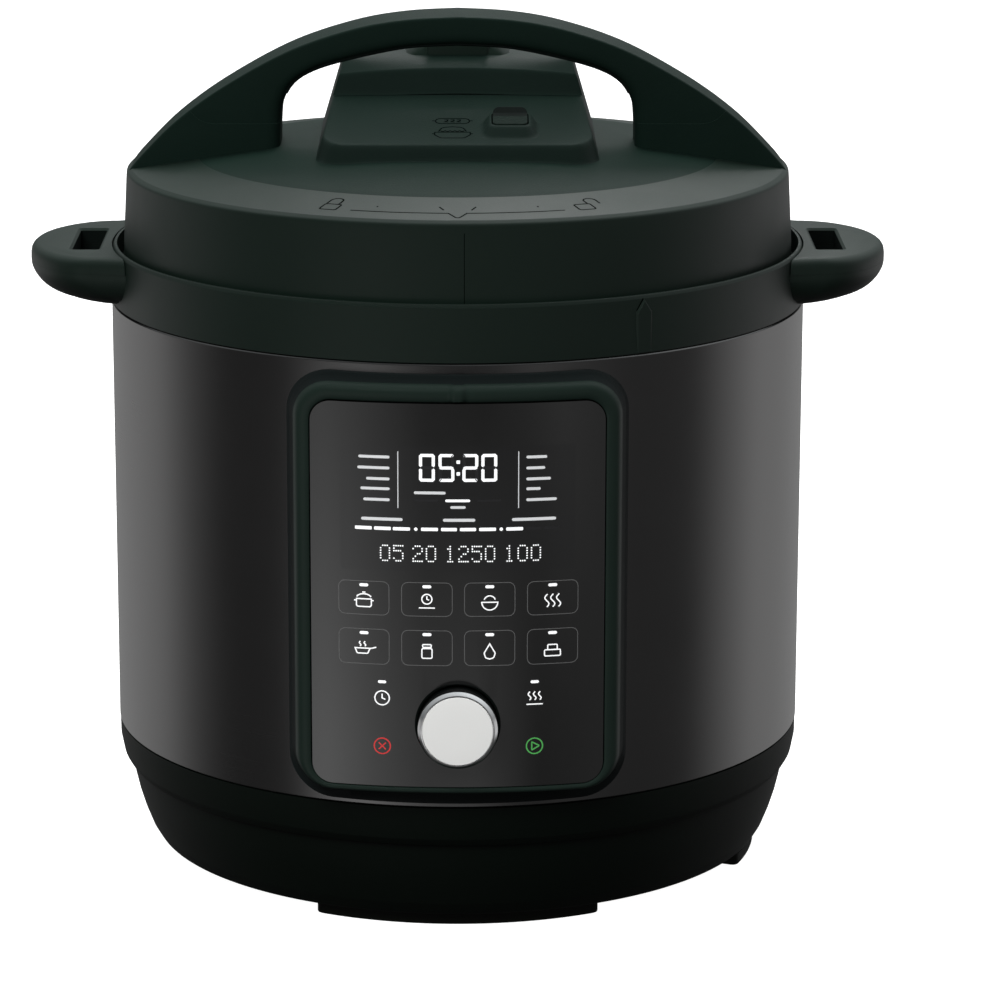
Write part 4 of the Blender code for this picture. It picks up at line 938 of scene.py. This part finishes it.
def bezel_piece():
    """The frame round the film: a soft half-round section swept round the panel."""
    outer = round_box((0.0, 139.9), (123.4, 157.4), 15.0, 14)
    inner = round_box(FILM_CENTRE, (108.7, 146.1), 8.3, 14)
    skirt = round_box((0.0, 137.25), (126.2, 163.9), 16.5, 14)

    def dense(line):
        """The same loop with many points along its four sides."""
        points = []
        for a, b in zip(line, line[1:] + line[:1]):
            count = 110 if math.dist(a, b) > 20.0 else 1
            points += [(a[0] + (b[0] - a[0]) * k / count, a[1] + (b[1] - a[1]) * k / count)
                       for k in range(count)]
        return points
    # share of the way from the film to the outer edge, and height above the film's surface
    section = [(0.00, -2.6), (0.00, -0.60), (0.03, -0.30), (0.08, -0.10), (0.18, 0.14), (0.32, 0.28),
               (0.46, 0.22), (0.58, -0.06), (0.68, -0.60), (0.76, -1.45), (0.82, -2.6), (0.87, -4.2),
               (0.92, -6.2), (1.00, -8.6)]
    loops = [[] for _ in range(len(section) + 4)]
    for (xo, zo), (xi, zi), (xs, zs) in zip(dense(outer), dense(inner), dense(skirt)):
        notch = 0.0     # a small rise at the middle of the top
        if zo > 203.0:
            near = max(0.0, min(1.0, (3.0 - abs(xo)) / 1.4))
            notch = 1.3 * near * near * (3 - 2 * near)
        for loop, (share, lift) in zip(loops, section):
            x, level, z = on_film(xi + (xo - xi) * share, zi + (zo - zi) * share, 0.0)
            loop.append((x, level - lift - (notch if 0.05 < share < 0.97 else 0.0), z))
        # then down to the body's wall, out to the skirt and back under the film
        xm, zm = xo + (xs - xo) * 0.3, zo + (zs - zo) * 0.3
        for loop, x, z, radius in ((loops[-4], xm, zm, 136.5), (loops[-3], xs, zs, 136.15),
                                   (loops[-2], xs, zs, 136.0), (loops[-1], xi, zi, 136.0)):
            loop.append((x, -math.sqrt(radius ** 2 - x * x), z))
    bezel = new_object("bezel_frame", [loft(loops, ring=True)])
    piece(bezel, BEZEL, "base", "panel_bezel", sharp=50.0)
    # painted shade: the side wall, which starts at the section's 0.82 line and runs out over the skirt, gets
    # a darker, greyer copy of the bezel's plastic
    repaint(bezel, SHADED_BEZEL_SIDES, lambda x, y, z: box_distance(x, z - 139.48, 60.36, 77.67, 13.78) > 0.0)


def film_pieces():
    """The gloss film with its hole for the dial, and the display window in it."""
    hole = arc((0.0, DIAL_Z), 15.6, 0, 352.5, 48)
    film = curved_plate("film_face", round_box(FILM_CENTRE, (108.0, 145.4), 7.6, 10), [hole], 0.0, -1.2)
    piece(film, FILM, "base", "panel_film", sharp=30.0)
    window = curved_plate("display_face", round_box((0.0, 171.0), (86.0, 47.0), 1.2, 4), [], 0.01, -0.1)
    piece(window, DISPLAY, "base", sharp=30.0)


# ---- legends ---------------------------------------------
def pill(centre, size):
    """A bar with round ends: a word on the panel, or a lamp."""
    return round_box(centre, size, min(size) / 2 * 0.98, 4)


def legend(name, material, outlines=(), lines=(), width=0.42):
    """Printed shapes and drawn lines on the film."""
    solids = [draped(outline, flat_place, 0.03, -0.2) for outline in outlines]
    solids += drawn(lines, width, flat_place, 0.03, -0.2)
    piece(bent(new_object(name, solids), 1.9), material, "base")


SEGMENTS = {"0": "abcdef", "1": "bc", "2": "abged", "5": "afgcd"}


def segment_shapes(left, lit_names, want_lit):
    """The bars of one seven-segment figure that are lit, or those that are not."""
    low, width, height, half, gap = 181.3, 5.8, 10.4, 0.575, 0.22
    right, top, middle, slant = left + width, low + height, low + height / 2, half * 0.8
    places = {"a": (left, right, top - half, 0), "g": (left, right, middle, 0),
              "d": (left, right, low + half, 0),
              "f": (middle, top, left + half, 1), "b": (middle, top, right - half, 1),
              "e": (low, middle, left + half, 1), "c": (low, middle, right - half, 1)}
    shapes = []
    for name, (start, end, line, upright) in places.items():
        if (name in lit_names) != want_lit:
            continue
        a, b = start + gap, end - gap
        bar = [(a, line), (a + slant, line + half), (b - slant, line + half), (b, line),
               (b - slant, line - half), (a + slant, line - half)]
        shapes.append([(v, u) if upright else (u, v) for u, v in bar])
    return shapes


DOT_FIGURES = {
    "0": ("01110", "10001", "10001", "10001", "10001", "10001", "01110"),
    "1": ("00100", "01100", "00100", "00100", "00100", "00100", "01110"),
    "2": ("01110", "10001", "00001", "00110", "01000", "10000", "11111"),
    "5": ("11111", "10000", "11110", "00001", "00001", "10001", "01110"),
}


def dot_line(text, left, top):
    """A row of dot-matrix figures."""
    shapes, x = [], left
    for figure in text:
        if figure == " ":
            x += 2.2
            continue
        for row, pattern in enumerate(DOT_FIGURES[figure]):
            for column, on in enumerate(pattern):
                if on == "1":
                    shapes.append(round_box((x + 0.81 * column, top - 0.95 * row), (0.62, 0.62), 0.22, 2))
        x += 0.81 * 6
    return shapes


def waves(count, pitch, size):
    """Wavy upright lines side by side, about the origin."""
    lines = []
    for k in range(count):
        middle = (k - (count - 1) / 2) * pitch
        lines.append(([(middle + 0.16 * size * math.sin(2.1 * math.pi * t / 8), size * (t / 8 - 0.5))
                       for t in range(9)], False))
    return lines


def clock(radius):
    hands = [(0.0, radius * 0.6), (0, 0), (radius * 0.45, -radius * 0.2)]
    return [(arc((0, 0), radius, 0, 340, 18), True), (hands, False)]


def shifted(lines, du, dv, scale=1.0):
    return [([(du + u * scale, dv + v * scale) for u, v in points], closed) for points, closed in lines]


def key_signs():
    """Eight plain pictures, one for each key."""
    pot = [(rounded([(-2.8, 0.6), (-2.8, -2.4, 0.9), (2.8, -2.4, 0.9), (2.8, 0.6)]), True),
           ([(-3.7, 0.0), (-2.8, 0.0)], False), ([(2.8, 0.0), (3.7, 0.0)], False)]
    lid = [(arc((0.0, 0.9), 2.8, 0, 180, 12)[1:-1], False)]
    bowl = [(arc((0, 0), 3.0, 180, 360, 14), True)]
    jar = [(rounded([(-1.9, 1.2, 0.6), (-1.9, -2.6, 0.6), (1.9, -2.6, 0.6), (1.9, 1.2, 0.6)]), True),
           (round_box((0.0, 2.2), (3.2, 1.1), 0.3, 3), True)]
    drop = [(rounded([(0.0, 3.0), (2.1, -0.6, 0.8), (1.5, -2.4, 1.0), (0.0, -2.9, 0.8), (-1.5, -2.4, 1.0),
                      (-2.1, -0.6, 0.8)]), True)]
    pan = [(rounded([(-3.4, 0.6), (-2.6, -1.4, 0.7), (1.4, -1.4, 0.7), (2.2, 0.6)]), True),
           ([(2.2, 0.5), (4.6, 1.1)], False)]
    cake = [(round_box((0.0, middle), size, 0.4, 3), True) for middle, size in ((-1.2, (6.0, 2.4)),
                                                                                (1.0, (3.6, 2.0)))]
    squeezed = [([(u, 0.9 + (v - 0.9) * 0.6) for u, v in points], closed) for points, closed in lid]
    return [pot + squeezed + [([(-0.6, 3.2), (0.6, 3.2)], False)],
            shifted(clock(1.9), 0.0, 1.2) + [([(-3.0, -2.2), (3.0, -2.2)], False)],
            bowl + [(arc((0.0, 0.3), 2.2, 20, 160, 10), False)],
            waves(3, 2.2, 5.0),
            pan + shifted(waves(2, 1.8, 1.9), -0.6, 2.3), jar, drop, cake]


KEY_COLUMNS = ((-43.7, -25.2), (-20.6, -2.0), (2.5, 21.0), (25.6, 44.2))
KEY_ROWS = ((130.5, 143.2), (111.7, 125.0))
LIST_ROWS = (190.2, 186.1, 182.0, 178.3, 174.2)


def legends():
    """All that is lit or printed on the film; words are plain bars."""
    figures = ((-14.1, "0"), (-7.0, "5"), (1.7, "2"), (8.6, "0"))
    lit_bars, unlit = ([bar for x, name in figures for bar in segment_shapes(x, SEGMENTS[name], wanted)]
                       for wanted in (True, False))
    lit_bars += [round_box((0.2, z), (1.3, 1.3), 0.15, 2) for z in (184.3, 188.7)]
    lit_bars.append(pill((0.0, 174.2), (9.1, 1.0)))
    steps = ((-37.6, -31.4), (-30.6, -24.4), (-23.7, -17.4), (-13.4, -7.2), (-6.1, -0.3), (0.8, 6.7),
             (7.8, 14.0), (17.7, 23.9))
    lit_bars += [round_box(((a + b) / 2, 163.4), (b - a, 1.25), 0.3, 3) for a, b in steps]
    lit_bars += [pill((x, 163.4), (1.3, 1.3)) for x in (-15.3, 15.9)]
    lit_bars += dot_line("05 20 1250 100", -28.2, 157.0)
    lit_bars += [pill((sum(column) / 2, row[1] - 1.5), (3.3, 1.15)) for row in KEY_ROWS
                 for column in KEY_COLUMNS]
    lit_bars += [pill((x, 105.0), (3.1, 1.1)) for x in (-27.9, 28.4)]
    legend("display_figures", WHITE, lit_bars)

    unlit += [pill((x, 174.2), (8.8, 0.8)) for x in (-11.6, 11.5)]
    unlit += [round_box((x, 163.4), (5.9, 1.1), 0.3, 3) for x in (27.9, 34.6)]
    legend("display_unlit", DIM, unlit)

    labels = []
    for z, left_width, right_width in zip(LIST_ROWS, (11.4, 11.8, 8.6, 10.7, 9.7),
                                          (7.6, 6.9, 9.0, 5.3, 11.2)):
        labels.append(pill((-24.8 - left_width / 2, z), (left_width, 1.05)))
        labels.append(pill((25.0 + right_width / 2, z), (right_width, 1.05)))
    labels += [pill((x, 166.9), (width, 1.15)) for x, width in ((-27.7, 15.2), (0.5, 11.8), (27.9, 16.2))]
    labels += [pill((-10.2, 177.1), (11.6, 1.05)), pill((0.1, 171.7), (5.6, 1.0))]
    lines = [([(-21.8, 192.4), (-21.8, 171.2)], False), ([(22.2, 192.4), (22.2, 171.2)], False)]
    legend("panel_labels", LABEL, labels, lines, 0.34)

    signs = []
    for number, sign in enumerate(key_signs()):
        row, column = KEY_ROWS[number // 4], KEY_COLUMNS[number % 4]
        signs += shifted(sign, sum(column) / 2, row[0] + 5.3, 0.98)
    signs += shifted(clock(2.7), -27.9, 98.8)
    signs += shifted(waves(3, 1.9, 3.2), 28.4, 99.6) + [([(25.4, 96.4), (31.4, 96.4)], False)]
    legend("key_signs", WHITE, lines=signs, width=0.46)
    # light thin lines drawn round each key, with a faint painted glow
    frames = [(round_box(((c[0] + c[1]) / 2, (r[0] + r[1]) / 2), (c[1] - c[0], r[1] - r[0]), 2.3, 5), True)
              for r in KEY_ROWS for c in KEY_COLUMNS]
    legend("key_frames", OUTLINE, lines=frames, width=0.26)
    rim = [(arc((0, 0), 3.0, 0, 345, 24), True)]
    cross = [([(-1.3, -1.3), (1.3, 1.3)], False), ([(-1.3, 1.3), (1.3, -1.3)], False)]
    triangle = [(rounded([(-1.0, -1.6, 0.2), (1.8, 0.0, 0.2), (-1.0, 1.6, 0.2)]), True)]
    legend("stop_sign", RED, lines=shifted(cross + rim, -27.9, 80.3), width=0.5)
    legend("start_sign", GREEN, lines=shifted(triangle + rim, 28.4, 80.3), width=0.5)


# ---- dial ------------------------------------------------
def dial_pieces():
    """The ring and disc of the dial, and the recess that they stand in, made near-black as painted shade."""
    place = {"centre": (0.0, 0.0, DIAL_Z), "forward": True, "steps": SMALL * 2}
    ring = rounded([
        (0.0, 154.2), (13.1, 154.2), (13.15, 154.98, 0.1), (13.6, 154.9, 0.2), (14.75, 153.4, 0.25),
        (14.8, 152.4, 0.2), (14.8, 146.4, 0.2), (13.2, 146.4), (13.2, 150.0), (0.0, 150.0)], closed=False)
    turned("dial_ring", ring, POLISHED, "dial", "dial_knob", **place)
    disc = rounded([(0.0, 155.0), (6.0, 155.0), (12.9, 154.95, 0.1), (13.05, 154.8, 0.1), (13.05, 154.3),
                    (0.0, 154.3)], closed=False)
    turned("dial_disc", disc, SATIN, "dial", "dial_face", **place)
    # painted shade: a near-black ring behind the film's hole, so the gap round the dial reads dark
    well = [(15.1, 141.6), (15.85, 141.6), (15.85, 146.0), (15.1, 145.7)]
    turned("dial_recess_painted_shade", well, PAINTED_SHADE_PLASTIC, "base", **place)


# ---- CAD nodes that stay ---------------------------------
KEPT_NODES = (
    (STEEL_PLAIN, "base_screw_1 base_screw_2 base_screw_3 spring_plate dial_shaft handle_screw_left "
                  "handle_screw_right steam_pipe pipe_nut valve_screen lever_pin lock_pin"),
    (ALUMINIUM, "heating_plate thermostat transformer"),
    (BOARD, "power_board touch_board control_board"),
    (SILICONE, "float_seal"),
)


def finish_kept_nodes():
    """Give the CAD nodes that stay their finishes; those not listed are black mouldings."""
    finishes = {name: material for material, names in KEPT_NODES for name in names.split()}
    for name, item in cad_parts.items():
        if not item.hide_render:
            for slot in item.material_slots:
                slot.material = finishes.get(name, BLACK)


# ---- studio ----------------------------------------------
def studio():
    """A pale sweep, soft lights and a sky that is bright overhead and behind, dark in front."""
    sweep = rounded([(5.0, 5.0), (5.0, 0.0, 1.5), (0.0, 0.0)], closed=False, steps=12)
    sweep += [(0.0, -0.001), (5.2, -0.001), (5.2, 5.0)]
    floor = new_object("studio_floor", [revolve([(r / MM, h / MM) for r, h in sweep], 96)])
    pale = bpy.data.materials.new("pale_floor")
    pale.use_nodes = True
    fill(pale.node_tree, pale.node_tree.nodes["Principled BSDF"], {
        "Base Color": (0.42, 0.42, 0.42, 1.0), "Roughness": 0.9, "Specular IOR Level": 0.0,
        "Emission Color": (1.0, 1.0, 1.0, 1.0), "Emission Strength": 1.0})
    floor.data.materials.append(pale)
    floor.visible_diffuse = floor.visible_glossy = floor.visible_transmission = False
    floor.visible_shadow = False

    world = bpy.data.worlds.new("studio_sky")
    bpy.context.scene.world = world
    world.use_nodes = True
    tree = world.node_tree
    towards = new_node(tree, "SeparateXYZ", {0: new_node(tree, "TexCoord").outputs["Generated"]}).outputs
    forward = new_node(tree, "Math", {0: towards["Y"], 1: -1.0}, operation="MULTIPLY").outputs[0]
    bearing = new_node(tree, "Math", {0: towards["X"], 1: forward}, operation="ARCTAN2").outputs[0]
    around = new_node(tree, "MapRange", {"Value": bearing, "From Min": -math.pi, "From Max": math.pi})

    def by_bearing(stops):
        """Brightness by bearing, in degrees from the front."""
        return ramp(tree, around.outputs["Result"],
                    [(degrees / 360.0 + 0.5, share) for degrees, share in stops])

    def between(axis, low, high, at_low, at_high, curve="SMOOTHSTEP"):
        """A factor that goes from one value to another along an axis of the sky."""
        return new_node(tree, "MapRange", {"Value": towards[axis], "From Min": low, "From Max": high,
                                           "To Min": at_low, "To Max": at_high},
                        interpolation_type=curve).outputs["Result"]

    def blended(share, first, second):
        return new_node(tree, "Mix", {"Factor": share, 6: first, 7: second}, data_type="RGBA").outputs[2]

    def dimmed(colour, share):
        return new_node(tree, "VectorMath", {0: colour, 1: share}, operation="MULTIPLY").outputs[0]

    left = [(-180, 0.25), (-155, 0.40), (-132, 0.60), (-116, 0.66), (-98, 0.25), (-84, 0.08), (-56, 0.09)]
    right = [(56, 0.11), (84, 0.11), (98, 0.42), (116, 0.76), (132, 0.58), (155, 0.40), (180, 0.25)]
    upper = by_bearing(left + [(-46, 0.30), (-32, 0.48), (-20, 0.28), (-8, 0.08), (5, 0.04), (14, 0.14),
                               (25, 0.30), (36, 0.20)] + right)
    lower = by_bearing(left + [(-46, 0.70), (-32, 1.25), (-20, 0.75), (-8, 0.44), (4, 0.48), (12, 0.28),
                               (19, 0.08), (27, 0.10), (36, 0.16)] + right)
    below = dimmed(blended(between("Z", -0.31, -0.21, 0.0, 1.0), lower, upper),
                   between("Z", -0.56, -0.30, 0.10, 1.0))
    high = ramp(tree, towards["Z"], [(0.0, 0.18), (0.22, 0.34), (0.48, 0.55), (0.75, 0.85), (1.0, 1.1)],
                (0.96, 1.0, 1.015))
    above_rim = dimmed(dimmed(high, between("Y", -0.45, 0.25, 0.25, 1.0)),
                       between("X", -0.7, 0.7, 0.62, 1.15, "LINEAR"))
    sky = blended(between("Z", -0.06, 0.10, 0.0, 1.0), below, above_rim)
    fill(tree, tree.nodes["Background"], {"Color": sky, "Strength": 1.0})

    key = area_light("key_light", (-0.7, -1.9, 1.9), (0.0, 0.0, 0.15), 1.5, 62.0)
    top = area_light("top_light", (0.1, 0.95, 2.1), (0.0, 0.0, 0.2), 1.6, 72.0)
    key.visible_glossy = top.visible_glossy = False
    rear = area_light("rear_light", (0.08, 0.62, 0.85), (0.03, -0.04, 0.29), 0.35, 0.038)
    rear.data.spread = math.radians(24.0)


def area_light(name, place, target, size, power):
    """A round light; its size is in metres and its power in watts."""
    light = bpy.data.lights.new(name, "AREA")
    light.shape = "DISK"
    light.size = size
    light.energy = power
    item = bpy.data.objects.new(name, light)
    bpy.context.scene.collection.objects.link(item)
    item.location = place
    item.rotation_euler = (Vector(target) - Vector(place)).to_track_quat("-Z", "Y").to_euler()
    return item


def camera():
    """The photo's own view, low and nearly level, through a long lens."""
    view = bpy.data.cameras.new("camera")
    view.sensor_width = 36.0
    view.lens = 155.3
    view.shift_x = 0.0423
    item = bpy.data.objects.new("camera", view)
    item.location = (0.0, -1.6712, 0.5531)
    item.rotation_euler = (math.radians(76.06), 0.0, 0.0)
    bpy.context.scene.collection.objects.link(item)
    bpy.context.scene.camera = item


camera()
base_pieces()
sleeve_piece()
collar_pieces()
lid_pieces()
lid_marks()
deck_marks()
steam_pieces()
inner_pieces()
spring_pieces()
cup_pieces()
bezel_piece()
film_pieces()
legends()
dial_pieces()
finish_kept_nodes()
studio()
bpy.context.scene.view_settings.view_transform = "Standard"
